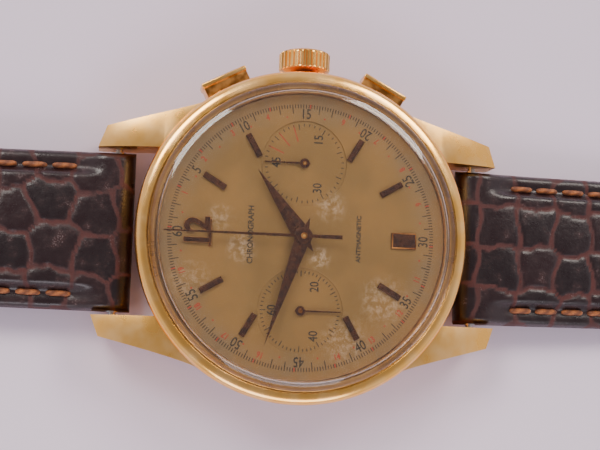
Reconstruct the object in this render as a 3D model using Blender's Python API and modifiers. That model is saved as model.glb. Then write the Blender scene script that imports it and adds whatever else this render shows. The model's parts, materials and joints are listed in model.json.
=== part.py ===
"""Hand-wound two-register chronograph wristwatch on a buckled leather strap.

Blender 4.5 script, metres, +Z up. The watch lies on its case back with the strap open.
Origin: centre of the case back's flat face. +Y points to 12 o'clock, +X to the crown.
"""

import math

import bmesh
import bpy
from mathutils import Matrix, Vector

MM = 0.001

# ---------------------------------------------------------------- driving dimensions (mm)
SEAT_GAP = 0.05  # between pieces that rest on each other
HAND_FIT = 0.02  # between a hand and its pipe
PIVOT_FIT = 0.05  # between a pivot and its hole

# movement and the ring that centres it
MOVEMENT_R = 14.85
RING_GAP = 0.1
RING_WALL = 0.6
RING_R = MOVEMENT_R + RING_GAP + RING_WALL
RING_BOTTOM_Z = 2.95

# dial and markers
DIAL_Z = 7.3
DIAL_T = 0.4
SUBDIAL_X = 8.0
SUBDIAL_R = 4.66
SUBDIAL_DEPTH = 0.1
MARKER_OUTER_R = 12.5
MARKER_L = 2.7
MARKER_W = 0.62
MARKER_H = 0.33
SIX_MARKER_W = 1.75
NUMERAL_W = 3.0
NUMERAL_STROKE = 0.42
BATON_HOURS = (1, 2, 4, 5, 7, 8, 10, 11)

# case
CASE_BORE_R = RING_R + 0.1
CASE_R = CASE_BORE_R + 2.25
CASE_BOTTOM_Z = 2.0
CASE_TOP_Z = DIAL_Z + 0.5
CASE_RIM_R = CASE_BORE_R + 1.2
CASE_RIM_H = 0.75
REBATE_R = CASE_BORE_R + 0.65
REBATE_H = 0.9
BEZEL_R = CASE_R + 0.15
BEZEL_LIP_R = CASE_RIM_R - 0.18
BEZEL_H = 1.4
CRYSTAL_WALL = 0.9
CRYSTAL_RISE = 3.4  # dome apex above the case rim
CRYSTAL_SHOULDER_R = BEZEL_LIP_R - 1.37
BACK_R = CASE_R - 1.0
BACK_FLAT_R = BACK_R - 4.4
BACK_WALL = 0.8
BACK_EDGE_Z = 1.2

# spring bars and lugs
BAR_Y = CASE_R + 2.15
BAR_Z = 3.1
BAR_R = 0.75
BAR_TIP_R = 0.42
BAR_TIP_L = 1.0
BAR_HOLE_R = 0.5
LUG_GAP = 18.2
LUG_TIP_Y = BAR_Y + 2.25
LUG_TIP_W = 2.3
LUG_TIP_SLANT = 0.9
LUG_ROOT_ANGLE = 54.5  # degrees from 12 o'clock where a lug's outer edge leaves the case
LUG_TIP_TOP_Z = 4.9
LUG_TIP_BOTTOM_Z = 1.4

# hands, with the time they show
HAND_T = 0.15
HAND_STEP = 0.31  # from one hand's level to the next
SMALL_HAND_Z = DIAL_Z + 0.1
HOUR_HAND_Z = DIAL_Z + 0.5
MINUTE_HAND_Z = HOUR_HAND_Z + HAND_STEP
SWEEP_HAND_Z = MINUTE_HAND_Z + HAND_STEP
HOUR_HAND_L = 8.8
MINUTE_HAND_L = 12.5
SWEEP_HAND_L = 14.9
SWEEP_TAIL_L = 4.2
SMALL_HAND_L = 4.4
TIME_HOURS = 1.8
RUNNING_SECONDS = 30.0

# arbors at the dial centre, from the inside out
SWEEP_ARBOR_R = 0.16
CENTRE_TUBE_R = 0.34
CANNON_R = 0.5
HOUR_PIPE_R = 0.72
SMALL_ARBOR_R = 0.15
PIVOT_R = 0.12

# movement levels, each (low, high)
PLATE_Z = (5.0, 6.3)
BRIDGE_Z = (2.75, 3.35)
CHRONO_BRIDGE_Z = (1.25, 1.7)
COCK_Z = (1.9, 2.4)
LEVER_Z = (2.3, 2.6)
CROWN_WHEEL_Z = (2.3, 3.4)
CHRONO_WHEEL_Z = (1.95, 2.1)
CENTRE_WHEEL_Z = (3.55, 3.7)
CENTRE_PINION_Z = (4.3, 4.8)
THIRD_PINION_Z = (3.5, 3.75)
THIRD_WHEEL_Z = (3.95, 4.1)
FOURTH_PINION_Z = (3.9, 4.15)
FOURTH_WHEEL_Z = (4.45, 4.6)
ESCAPE_PINION_Z = (4.4, 4.65)
ESCAPE_WHEEL_Z = (3.55, 3.7)
PALLET_Z = (3.5, 3.7)
BARREL_Z = (3.85, 4.9)
BARREL_TEETH_Z = (4.45, 4.7)
BALANCE_Z = (3.05, 3.35)
HAIRSPRING_Z = 2.7
CANNON_TEETH_Z = (PLATE_Z[1] + 0.06, PLATE_Z[1] + 0.3)
MINUTE_WHEEL_Z = (PLATE_Z[1] + 0.06, PLATE_Z[1] + 0.2)
HOUR_WHEEL_Z = (PLATE_Z[1] + 0.33, PLATE_Z[1] + 0.49)

# wheel radii and centres
CENTRE_WHEEL_R = 4.74
CENTRE_PINION_R = 0.9
THIRD_WHEEL_R = 4.7
THIRD_PINION_R = 0.58
FOURTH_WHEEL_R = 3.58
FOURTH_PINION_R = 0.62
ESCAPE_WHEEL_R = 2.2
ESCAPE_PINION_R = 0.38
BARREL_R = 5.3
BARREL_TEETH_R = 5.85
BARREL_ARBOR_R = 0.7
RATCHET_R = 4.4
CROWN_WHEEL_R = 2.58
INTERMEDIATE_R = 2.0
BALANCE_R = 4.0
RUNNER_R = 3.75
COUNTER_WHEEL_R = 2.35
CANNON_TEETH_R = 0.72
MINUTE_WHEEL_R = 2.17
MINUTE_PINION_R = 0.575
HOUR_WHEEL_R = 2.31
COCK_FOOT_R = 1.5
BARREL_AT = (2.9, 6.2)
THIRD_AT = (-4.0, -3.6)
ESCAPE_AT = (-9.6, -3.72)
PALLET_AT = (-8.1, -6.6)
BALANCE_AT = (-4.2, -9.6)
CROWN_WHEEL_AT = (11.95, 0.0)
INTERMEDIATE_AT = (8.65, 3.26)
MINUTE_WHEEL_AT = (-1.77, -2.36)
COCK_FOOT_AT = (2.2, -12.0)
PILLARS_AT = ((-10.5, 8.0), (6.5, -11.0), (-0.8, 13.0))
CHRONO_FEET_AT = ((-5.0, 0.0), (4.7, 0.0))
LEVER_PIVOT_AT = (9.6, 9.4)

# crown and stem
STEM_Z = 4.95
STEM_R = 0.55
STEM_START_X = 8.6
WINDING_PINION_R = 1.4
WINDING_PINION_L = 1.45
TUBE_R = 1.05
TUBE_BORE_R = 0.72
CROWN_X = CASE_R + 0.4
CROWN_R = 2.85
CROWN_BAND_L = 2.15
CROWN_TEETH = 30
CROWN_TRAVEL = 1.0

# pushers
PUSHER_ANGLE = 27.5
PUSHER_TRAVEL = 1.0
PUSHER_W = 5.3
PUSHER_H = 2.9
PUSHER_OUT_R = CASE_R + 2.0
PUSHER_IN_R = CASE_R - 0.4
PUSHER_POCKET_R = PUSHER_IN_R - PUSHER_TRAVEL - 0.1
PUSHER_STEM_R = 0.4
PUSHER_STEM_Z = 4.5
PUSHER_STEM_END_R = MOVEMENT_R - 0.1
SPRING_R = 0.6
SPRING_WIRE_R = 0.08
SPRING_ROOM = 1.15  # depth of the counterbore in a pusher
LEVER_TAB_W = 1.5
LEVER_TAB_T = 0.4

# strap
STRAP_W = LUG_GAP - 0.7
STRAP_TIP_W = 16.0
STRAP_LOOP_R = 1.9
STRAP_PAD_T = 4.0
STRAP_END_T = 2.2
BUCKLE_SIDE_L = 74.0
TIP_SIDE_L = 114.0
PAD_L = 34.0
KEEPER_LEATHER = 0.9
KEEPER_ROOM = 5.4
KEEPER_W = 5.0
FIXED_KEEPER_BACK = 8.0  # from the buckle pin towards the case
SLIDING_KEEPER_BACK = 20.0
KEEPER_TRAVEL = 15.0  # how far the sliding keeper moves towards the case
HOLE_R = 0.9
HOLE_COUNT = 7
HOLE_PITCH = 6.5
FIRST_HOLE_FROM_TIP = 24.0
BUCKLE_WINDOW_L = 8.6
BUCKLE_BAR = 1.7
BUCKLE_T = 1.7
BUCKLE_PIN_R = 0.6
BUCKLE_DROOP = math.radians(6.2)  # the frame hangs from its pin and touches the table
TONGUE_W = 1.5

SMOOTH_ANGLE = math.radians(35)
ROUND = 48  # facets round the case's large circles

collection = None
helpers = None


# ---------------------------------------------------------------- scene and material helpers
def clear_scene():
    for obj in list(bpy.data.objects):
        bpy.data.objects.remove(obj)


def new_collection(name):
    made = bpy.data.collections.new(name)
    bpy.context.scene.collection.children.link(made)
    return made


def material(name, colour, roughness, metallic):
    made = bpy.data.materials.new(name)
    made.use_nodes = True
    shader = made.node_tree.nodes["Principled BSDF"]
    shader.inputs["Base Color"].default_value = (*colour, 1.0)
    shader.inputs["Roughness"].default_value = roughness
    shader.inputs["Metallic"].default_value = metallic
    return made


def make_materials():
    return {
        "gold": material("gold_plate", (0.83, 0.58, 0.25), 0.22, 1.0),
        "steel": material("steel", (0.6, 0.6, 0.62), 0.3, 1.0),
        "brass": material("gilt_brass", (0.72, 0.55, 0.27), 0.35, 1.0),
        "nickel": material("nickel_plate", (0.55, 0.54, 0.52), 0.35, 1.0),
        "dial": material("champagne_dial", (0.42, 0.3, 0.13), 0.45, 0.4),
        "rose": material("darkened_rose_gilt", (0.1, 0.035, 0.025), 0.3, 0.8),
        "crystal": material("acrylic", (0.9, 0.9, 0.9), 0.05, 0.0),
        "seal": material("black_rubber", (0.02, 0.02, 0.02), 0.7, 0.0),
        "leather": material("brown_leather", (0.05, 0.018, 0.015), 0.45, 0.0),
    }


def finish(obj, skin):
    """Puts a mesh object in the watch's collection with its material and smooth round faces."""
    obj.data.materials.clear()
    obj.data.materials.append(skin)
    return obj


def new_object(name, mesh, place=(0, 0, 0), turn=(0, 0, 0), helper=False):
    obj = bpy.data.objects.new(name, mesh)
    (helpers if helper else collection).objects.link(obj)
    obj.location = Vector(place) * MM
    obj.rotation_euler = turn
    if helper:
        obj.hide_render = True
        obj.display_type = "WIRE"
    return obj


def bake(obj):
    """Gives the object its evaluated mesh, welded, in place of its curve or modifiers."""
    bpy.context.view_layer.update()
    graph = bpy.context.evaluated_depsgraph_get()
    mesh = bpy.data.meshes.new_from_object(obj.evaluated_get(graph))
    work = bmesh.new()
    work.from_mesh(mesh)
    bmesh.ops.remove_doubles(work, verts=work.verts, dist=1e-7)
    work.to_mesh(mesh)
    work.free()
    baked = bpy.data.objects.new(obj.name, mesh)
    for home in obj.users_collection:
        home.objects.link(baked)
    baked.matrix_world = obj.matrix_world
    baked.hide_render, baked.display_type = obj.hide_render, obj.display_type
    name = obj.name
    bpy.data.objects.remove(obj)
    baked.name = name
    return baked


# ---------------------------------------------------------------- shape helpers
def turned(name, profile, skin=None, place=(0, 0, 0), turn=(0, 0, 0), steps=64, ring=False):
    """Spins (radius, z) points round Z. They run down the outer side; a ring's profile closes."""
    mesh = bpy.data.meshes.new(name)
    count = len(profile)
    edges = [(i, i + 1) for i in range(count - 1)]
    if ring:
        edges.append((count - 1, 0))
    mesh.from_pydata([(r * MM, 0, z * MM) for r, z in profile], edges, [])
    obj = new_object(name, mesh, place, turn, helper=skin is None)
    screw = obj.modifiers.new("spin", "SCREW")
    screw.steps = screw.render_steps = steps
    screw.use_merge_vertices = True
    screw.merge_threshold = 1e-6
    obj = bake(obj)
    return finish(obj, skin) if skin else obj


def disc(name, radius, z0, z1, at=(0, 0), skin=None, steps=24, spots=()):
    """A flat cylinder. Each spot is a round hole's (centre, radius) from the disc's own centre."""
    outlines = [circle(radius, steps=steps)]
    for centre, hole_r in spots:
        outlines.append(circle(hole_r, centre, steps if hole_r > radius / 2 else 8))
    return plate(name, outlines, z0, z1, skin, (*at, 0))


def box(name, size, place, turn=(0, 0, 0), skin=None, bevel=0.0, segments=2):
    work = bmesh.new()
    bmesh.ops.create_cube(work, size=1.0)
    bmesh.ops.scale(work, vec=Vector(size) * MM, verts=work.verts)
    if bevel:
        bmesh.ops.bevel(work, geom=work.edges[:], offset=bevel * MM, segments=segments, affect="EDGES")
    mesh = bpy.data.meshes.new(name)
    work.to_mesh(mesh)
    work.free()
    obj = new_object(name, mesh, place, turn, helper=skin is None)
    return finish(obj, skin) if skin else obj


def plate(name, outlines, z0, z1, skin=None, place=(0, 0, 0), turn=(0, 0, 0)):
    """A flat plate with the first outline as its edge and the others as its holes."""
    curve = bpy.data.curves.new(name, "CURVE")
    curve.dimensions = "2D"
    curve.fill_mode = "BOTH"
    curve.extrude = (z1 - z0) / 2 * MM
    for outline in outlines:
        spline = curve.splines.new("POLY")
        spline.points.add(len(outline) - 1)
        for point, (x, y) in zip(spline.points, outline):
            point.co = (x * MM, y * MM, 0, 1)
        spline.use_cyclic_u = True
    obj = new_object(name, curve, place, turn, helper=skin is None)
    obj = bake(obj)
    obj.data.transform(Matrix.Translation((0, 0, (z0 + z1) / 2 * MM)))
    return finish(obj, skin) if skin else obj


def wire(name, points, radius, skin, closed=False, sides=2, place=(0, 0, 0), turn=(0, 0, 0)):
    """A round wire through the points."""
    curve = bpy.data.curves.new(name, "CURVE")
    curve.dimensions = "3D"
    curve.bevel_depth = radius * MM
    curve.bevel_resolution = sides
    curve.use_fill_caps = not closed
    spline = curve.splines.new("POLY")
    spline.points.add(len(points) - 1)
    for point, (x, y, z) in zip(spline.points, points):
        point.co = (x * MM, y * MM, z * MM, 1)
    spline.use_cyclic_u = closed
    obj = bake(new_object(name, curve, place, turn, helper=skin is None))
    return finish(obj, skin) if skin else obj


def boolean(obj, other, operation, solver="EXACT"):
    step = obj.modifiers.new(f"{operation.lower()} {other.name}", "BOOLEAN")
    step.operation = operation
    step.solver = solver
    step.object = other
    if other.name not in helpers.objects:
        helpers.objects.link(other)
        collection.objects.unlink(other)
        other.hide_render = True
        other.display_type = "WIRE"
    return obj


def cut(obj, *cutters, solver="EXACT"):
    for cutter in cutters:
        boolean(obj, cutter, "DIFFERENCE", solver)
    return obj


def join(obj, *others):
    for other in others:
        boolean(obj, other, "UNION")
    return obj


def circle(radius, at=(0, 0), steps=24, start=0.0, end=2 * math.pi):
    """Points round a circle, or along an arc that keeps its end point."""
    whole = abs(end - start) >= 2 * math.pi - 1e-9
    count = steps if whole else steps + 1
    angles = [start + (end - start) * i / steps for i in range(count)]
    return [(at[0] + radius * math.cos(a), at[1] + radius * math.sin(a)) for a in angles]


def teeth(count, tip_r, root_r, at=(0, 0)):
    """A toothed outline with one tip and one root to each tooth."""
    made = []
    for i in range(2 * count):
        radius = root_r if i % 2 else tip_r
        angle = math.pi * i / count
        made.append((at[0] + radius * math.cos(angle), at[1] + radius * math.sin(angle)))
    return made


def polar(radius, degrees):
    return radius * math.cos(math.radians(degrees)), radius * math.sin(math.radians(degrees))


def bezier(a, b, c, steps):
    """Points of a quadratic curve from a to c, pulled towards b."""
    return [
        tuple((1 - t) ** 2 * p + 2 * t * (1 - t) * q + t * t * r for p, q, r in zip(a, b, c))
        for t in (i / steps for i in range(steps + 1))
    ]


# ---------------------------------------------------------------- case
def lug_outline():
    """The 1 o'clock lug in plan. Its outer edge runs tangent into the round case."""
    inner = LUG_GAP / 2
    root_angle = 90 - LUG_ROOT_ANGLE
    root = polar(CASE_R, root_angle)
    tip = (inner + LUG_TIP_W, LUG_TIP_Y - LUG_TIP_SLANT)
    bend = (root[0] - 0.75, root[1] + 1.05)
    edge = bezier(tip, bend, root, 8)
    root = polar(CASE_BORE_R, root_angle)
    return [(inner, 11.5), root, *[(x, y) for x, y in reversed(edge)], (inner, LUG_TIP_Y)]


def lug_side():
    """A lug's side view as (y, z): the top falls in a curve towards the strap."""
    top = bezier((7.0, CASE_TOP_Z - 0.15), (17.5, CASE_TOP_Z - 0.3), (LUG_TIP_Y + 0.2, LUG_TIP_TOP_Z), 7)
    bottom = [(LUG_TIP_Y + 0.2, LUG_TIP_BOTTOM_Z + 0.6), (LUG_TIP_Y - 0.5, LUG_TIP_BOTTOM_Z)]
    return [(7.0, CASE_BOTTOM_Z + 0.4), *top, *bottom, (16.4, CASE_BOTTOM_Z + 0.2)]


def make_lug(name, mirror_x, mirror_y):
    plan = plate(name, [lug_outline()], 0.5, CASE_TOP_Z + 0.5)
    side = plate(name + "_side", [lug_side()], -20, 20)
    side.data.transform(Matrix(((0, 0, 1, 0), (1, 0, 0, 0), (0, 1, 0, 0), (0, 0, 0, 1))))
    boolean(plan, side, "INTERSECT")
    plan = bake(plan)
    plan.data.transform(Matrix.Diagonal((mirror_x, mirror_y, 1, 1)))
    if mirror_x * mirror_y < 0:
        plan.data.flip_normals()
    return plan


def radial(turn_degrees):
    """Rotation that lays a shape's own +Z along the outward direction at this angle."""
    return (0, math.pi / 2, math.radians(turn_degrees))


def case_middle(skin):
    rim_top = CASE_TOP_Z + CASE_RIM_H
    body = turned(
        "case_middle",
        [
            (CASE_BORE_R - 1, rim_top),
            (CASE_RIM_R, rim_top),
            (CASE_RIM_R, CASE_TOP_Z),
            (CASE_R, CASE_TOP_Z),
            (CASE_R, CASE_BOTTOM_Z + 1.2),
            (CASE_R - 0.9, CASE_BOTTOM_Z),
            (CASE_BORE_R - 1, CASE_BOTTOM_Z),
        ],
        skin,
        steps=ROUND,
        ring=True,
    )
    for mirror_x in (1, -1):
        for mirror_y in (1, -1):
            join(body, make_lug(f"lug_{mirror_x}_{mirror_y}", mirror_x, mirror_y))
    bore = disc("case_bore", CASE_BORE_R, CASE_BOTTOM_Z - 2, rim_top + 1, steps=ROUND)
    rebate = disc("case_rebate", REBATE_R, CASE_BOTTOM_Z - 2, CASE_BOTTOM_Z + REBATE_H, steps=ROUND)
    cut(body, bore, rebate)
    bar_reach = LUG_GAP / 2 + BAR_TIP_L + 0.3
    for side, y in (("12", BAR_Y), ("6", -BAR_Y)):
        hole = turned(
            f"bar_hole_{side}",
            [(0, bar_reach), (BAR_HOLE_R, bar_reach), (BAR_HOLE_R, -bar_reach), (0, -bar_reach)],
            place=(0, y, BAR_Z),
            turn=(0, math.pi / 2, 0),
            steps=16,
        )
        cut(body, hole)
    tube_hole = turned(
        "tube_hole",
        [(0, CASE_R + 2), (TUBE_R + SEAT_GAP, CASE_R + 2), (TUBE_R + SEAT_GAP, RING_R), (0, RING_R)],
        place=(0, 0, STEM_Z),
        turn=radial(0),
        steps=24,
    )
    cut(body, tube_hole)
    stem_bore = PUSHER_STEM_R + SEAT_GAP
    for sign in (1, -1):
        angle = sign * PUSHER_ANGLE
        pocket_depth = 4.0
        x, y = polar(PUSHER_POCKET_R + pocket_depth / 2, angle)
        pocket = box(
            f"pusher_pocket_{sign}",
            (pocket_depth, PUSHER_W + 2 * SEAT_GAP + 0.1, PUSHER_H + 2 * SEAT_GAP + 0.1),
            (x, y, STEM_Z),
            turn=(0, 0, math.radians(angle)),
        )
        stem_hole = turned(
            f"pusher_hole_{sign}",
            [(0, CASE_R), (stem_bore, CASE_R), (stem_bore, RING_R), (0, RING_R)],
            place=(0, 0, PUSHER_STEM_Z),
            turn=radial(angle),
            steps=16,
        )
        cut(body, pocket, stem_hole)
    return body


def bezel(skin):
    base = CASE_TOP_Z + SEAT_GAP
    seat = CASE_TOP_Z + CASE_RIM_H + 0.3
    inner = CASE_RIM_R + SEAT_GAP
    top = base + BEZEL_H
    return turned(
        "bezel",
        [
            (BEZEL_LIP_R, top - 0.1),
            (BEZEL_LIP_R + 0.4, top),
            (BEZEL_R - 0.5, top - 0.12),
            (BEZEL_R - 0.1, top - 0.5),
            (BEZEL_R, top - 0.9),
            (BEZEL_R, base),
            (inner, base),
            (inner, seat),
            (BEZEL_LIP_R, seat),
        ],
        skin,
        steps=ROUND,
        ring=True,
    )


def dome(radius, edge_z, rise, steps):
    """(radius, z) points of a shallow dome, from its apex to its edge."""
    ball = (radius**2 + rise**2) / (2 * rise)
    radii = [radius * i / steps for i in range(steps + 1)]
    return [(r, edge_z + rise - ball + math.sqrt(ball**2 - r**2)) for r in radii]


def crystal(skin):
    seat = CASE_TOP_Z + CASE_RIM_H + SEAT_GAP
    flange_top = CASE_TOP_Z + CASE_RIM_H + 0.3 - SEAT_GAP
    wall_r = BEZEL_LIP_R - SEAT_GAP
    apex = CASE_TOP_Z + CASE_RIM_H + CRYSTAL_RISE
    outer = dome(CRYSTAL_SHOULDER_R, apex - 1.3, 1.3, 3)
    inner = dome(CRYSTAL_SHOULDER_R - 0.2, apex - CRYSTAL_WALL - 1.2, 1.2, 2)
    shoulder_z = outer[-1][1]
    profile = [
        *outer,
        (wall_r - 0.45, shoulder_z - 0.3),
        (wall_r, shoulder_z - 0.9),
        (wall_r, flange_top),
        (CASE_RIM_R, flange_top),
        (CASE_RIM_R, seat),
        (CASE_BORE_R + SEAT_GAP, seat),
        (CASE_BORE_R + SEAT_GAP, inner[-1][1] - 0.5),
        *inner[::-1],
    ]
    return turned("crystal", profile, skin, steps=ROUND)


def case_back(skin):
    lip_r = REBATE_R - SEAT_GAP
    seat = CASE_BOTTOM_Z - SEAT_GAP
    lip_top = CASE_BOTTOM_Z + REBATE_H - 0.35
    inner_r = CASE_BORE_R + SEAT_GAP
    return turned(
        "case_back",
        [
            (0, BACK_WALL),
            (BACK_FLAT_R, BACK_WALL),
            (inner_r, BACK_EDGE_Z + 0.1),
            (inner_r, lip_top),
            (lip_r, lip_top),
            (lip_r, seat),
            (BACK_R, seat),
            (BACK_R, BACK_EDGE_Z),
            (BACK_R - 1.4, BACK_EDGE_Z - 0.7),
            (BACK_FLAT_R, 0),
            (0, 0),
        ],
        skin,
        steps=ROUND,
    )


# ---------------------------------------------------------------- crown, stem and pushers
def crown_parts(skins):
    turn = radial(0)
    band_x = CROWN_X + 0.45
    end_x = band_x + CROWN_BAND_L
    recess_r, recess_x = TUBE_R + 0.1, CROWN_X + 0.9
    crown = turned(
        "crown",
        [
            (0, end_x + 0.45),
            (CROWN_R * 0.6, end_x + 0.32),
            (CROWN_R - 0.25, end_x),
            (CROWN_R - 0.25, band_x),
            (1.7, CROWN_X),
            (recess_r, CROWN_X),
            (recess_r, recess_x),
            (0, recess_x),
        ],
        skins["gold"],
        place=(0, 0, STEM_Z),
        turn=turn,
        steps=30,
    )
    knurl = plate(
        "crown_knurl",
        [teeth(CROWN_TEETH, CROWN_R, CROWN_R - 0.16), circle(CROWN_R - 0.9, steps=15)],
        band_x + 0.05,
        end_x - 0.05,
        place=(0, 0, STEM_Z),
        turn=turn,
    )
    join(crown, knurl)
    socket_depth = 0.9
    socket = turned(
        "crown_socket",
        [
            (0, recess_x + socket_depth),
            (STEM_R + HAND_FIT, recess_x + socket_depth),
            (STEM_R + HAND_FIT, CROWN_X - 1),
            (0, CROWN_X - 1),
        ],
        place=(0, 0, STEM_Z),
        turn=turn,
        steps=16,
    )
    cut(crown, socket)
    disc_gasket = turned(
        "crown_gasket",
        [
            (STEM_R + PIVOT_FIT, recess_x - 0.1),
            (recess_r - PIVOT_FIT, recess_x - 0.1),
            (recess_r - PIVOT_FIT, recess_x - 0.45),
            (STEM_R + PIVOT_FIT, recess_x - 0.45),
        ],
        skins["seal"],
        place=(0, 0, STEM_Z),
        turn=turn,
        steps=24,
        ring=True,
    )
    pinion_x = STEM_START_X + 0.15
    stem = turned(
        "winding_stem",
        [
            (0, recess_x + socket_depth - 0.05),
            (STEM_R, recess_x + socket_depth - 0.05),
            (STEM_R, pinion_x + WINDING_PINION_L),
            (WINDING_PINION_R, pinion_x + WINDING_PINION_L),
            (WINDING_PINION_R, pinion_x),
            (STEM_R, pinion_x),
            (STEM_R, STEM_START_X),
            (0, STEM_START_X),
        ],
        skins["steel"],
        place=(0, 0, STEM_Z),
        turn=turn,
        steps=16,
    )
    tube = turned(
        "crown_tube",
        [
            (TUBE_BORE_R, CROWN_X + 0.35),
            (TUBE_R, CROWN_X + 0.35),
            (TUBE_R, CASE_BORE_R + 0.05),
            (TUBE_BORE_R, CASE_BORE_R + 0.05),
        ],
        skins["steel"],
        place=(0, 0, STEM_Z),
        turn=turn,
        steps=24,
        ring=True,
    )
    return crown, disc_gasket, stem, tube


def pusher(name, angle, skin):
    """A rectangular cap on an offset round stem. The cap slides in a pocket of the case."""
    x, y = polar((PUSHER_OUT_R + PUSHER_IN_R) / 2, angle)
    cap = box(
        name,
        (PUSHER_OUT_R - PUSHER_IN_R, PUSHER_W, PUSHER_H),
        (x, y, STEM_Z),
        turn=(0, 0, math.radians(angle)),
        skin=skin,
        bevel=0.22,
    )
    counterbore_r = SPRING_R + SPRING_WIRE_R + 0.06
    counterbore = turned(
        name + "_counterbore",
        [
            (0, PUSHER_IN_R + SPRING_ROOM),
            (counterbore_r, PUSHER_IN_R + SPRING_ROOM),
            (counterbore_r, PUSHER_IN_R - 1),
            (0, PUSHER_IN_R - 1),
        ],
        place=(0, 0, PUSHER_STEM_Z),
        turn=radial(angle),
        steps=16,
    )
    stem = turned(
        name + "_stem",
        [
            (0, PUSHER_IN_R + SPRING_ROOM + 0.3),
            (PUSHER_STEM_R, PUSHER_IN_R + SPRING_ROOM + 0.3),
            (PUSHER_STEM_R, PUSHER_STEM_END_R),
            (0, PUSHER_STEM_END_R),
        ],
        place=(0, 0, PUSHER_STEM_Z),
        turn=radial(angle),
        steps=16,
    )
    return join(cut(cap, counterbore), stem)


def pusher_spring(name, angle, skin):
    """The return spring round a pusher's stem, between the pocket floor and the cap's counterbore."""
    turns, per_turn = 4, 10
    start = PUSHER_POCKET_R + SPRING_WIRE_R + 0.03
    end = PUSHER_IN_R + SPRING_ROOM - SPRING_WIRE_R - 0.03
    count = turns * per_turn
    points = [
        (*polar(SPRING_R, 360 * i / per_turn), start + (end - start) * i / count)
        for i in range(count + 1)
    ]
    return wire(name, points, SPRING_WIRE_R, skin, sides=0, place=(0, 0, PUSHER_STEM_Z), turn=radial(angle))


# ---------------------------------------------------------------- dial, markers and hands
def dial(skin):
    base = DIAL_Z - DIAL_T
    small_holes = [((sign * SUBDIAL_X, 0), SMALL_ARBOR_R * 2) for sign in (1, -1)]
    centre_hole = ((0, 0), HOUR_PIPE_R + 0.13)
    body = disc("dial", RING_R, base, DIAL_Z, skin=skin, steps=ROUND, spots=[centre_hole, *small_holes])
    for sign in (1, -1):
        at = (sign * SUBDIAL_X, 0)
        cut(body, disc(f"subdial_{sign}", SUBDIAL_R, DIAL_Z - SUBDIAL_DEPTH, DIAL_Z + 1, at, steps=40))
    return body


def hour_marker(name, hour, width, skin):
    """A baton on its hour's radius, with its top edges bevelled."""
    angle = 90 - 30 * hour
    x, y = polar(MARKER_OUTER_R - MARKER_L / 2, angle)
    z = DIAL_Z + HAND_FIT + MARKER_H / 2
    return box(
        name,
        (MARKER_L, width, MARKER_H),
        (x, y, z),
        turn=(0, 0, math.radians(angle)),
        skin=skin,
        bevel=0.08,
        segments=1,
    )


def twelve_numeral(skin):
    """Applied 12. Both figures stand on one foot bar, so the numeral is one piece."""
    z0 = DIAL_Z + HAND_FIT
    z1 = z0 + MARKER_H
    half, stroke = NUMERAL_W / 2, NUMERAL_STROKE
    bottom, top = MARKER_OUTER_R - MARKER_L, MARKER_OUTER_R
    foot = plate("twelve_foot", [rectangle(-half, bottom, half, bottom + stroke)], z0, z1, skin)
    foot.name = "numeral_twelve"
    one = plate("twelve_one", [rectangle(-half + 0.35, bottom + 0.1, -half + 0.35 + stroke, top)], z0, z1)
    serif = plate("twelve_serif", [rectangle(-half, top - stroke, -half + 0.45, top)], z0, z1)
    bowl_r = 0.68
    centre = (half - bowl_r - 0.08, top - bowl_r)
    outer = circle(bowl_r, centre, 12, math.radians(170), math.radians(-35))
    inner = circle(bowl_r - stroke, centre, 12, math.radians(-35), math.radians(170))
    leg = [(centre[0] - bowl_r, bottom + 0.15), (centre[0] - bowl_r + stroke, bottom + 0.15)]
    two = plate("twelve_two", [[*outer, leg[1], leg[0], *inner]], z0, z1)
    return join(foot, one, serif, two)


def rectangle(x0, y0, x1, y1):
    return [(x0, y0), (x1, y0), (x1, y1), (x0, y1)]


def kite_hand(name, length, tail, half_width, z0, hole_r, boss_r, degrees, skin):
    """A dauphine hand: a long kite round its boss. Its own +Y is its tip; degrees are clockwise from 12."""
    shoulder = 0.95
    outline = [(0, length), (-half_width, shoulder), (0, -tail), (half_width, shoulder)]
    hand = plate(name, [outline], z0, z0 + HAND_T, skin)
    boss = disc(name + "_boss", boss_r, z0, z0 + HAND_T, steps=24)
    hole = disc(name + "_hole", hole_r, z0 - 1, z0 + 1, steps=16)
    cut(join(hand, boss), hole)
    hand.rotation_euler.z = -math.radians(degrees)
    for helper in (boss, hole):
        helper.rotation_euler.z = hand.rotation_euler.z
    return hand


def pin_hand(name, length, tail, half_widths, z0, hub_r, collar, at, degrees, skin):
    """A narrow hand on a round hub. half_widths are (hub, tip, tail), and collar (radius, height)."""
    root_w, tip_w, tail_w = half_widths
    side = [(tail_w, -tail), (root_w, 0), (tip_w, length)]
    outline = [*[(-x, y) for x, y in reversed(side)], *side]
    hand = plate(name, [outline], z0, z0 + HAND_T, skin, place=(*at, 0))
    hub = disc(name + "_hub", hub_r, z0 - 0.01, z0 + HAND_T + 0.01, at, steps=24)
    ring = disc(name + "_collar", collar[0], z0, z0 + collar[1], at, steps=16)
    hole = disc(name + "_hole", SWEEP_ARBOR_R + HAND_FIT, z0 - 1, z0 + 1, at, steps=12)
    cut(join(hand, hub, ring), hole)
    hand.rotation_euler.z = -math.radians(degrees)
    return hand


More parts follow.
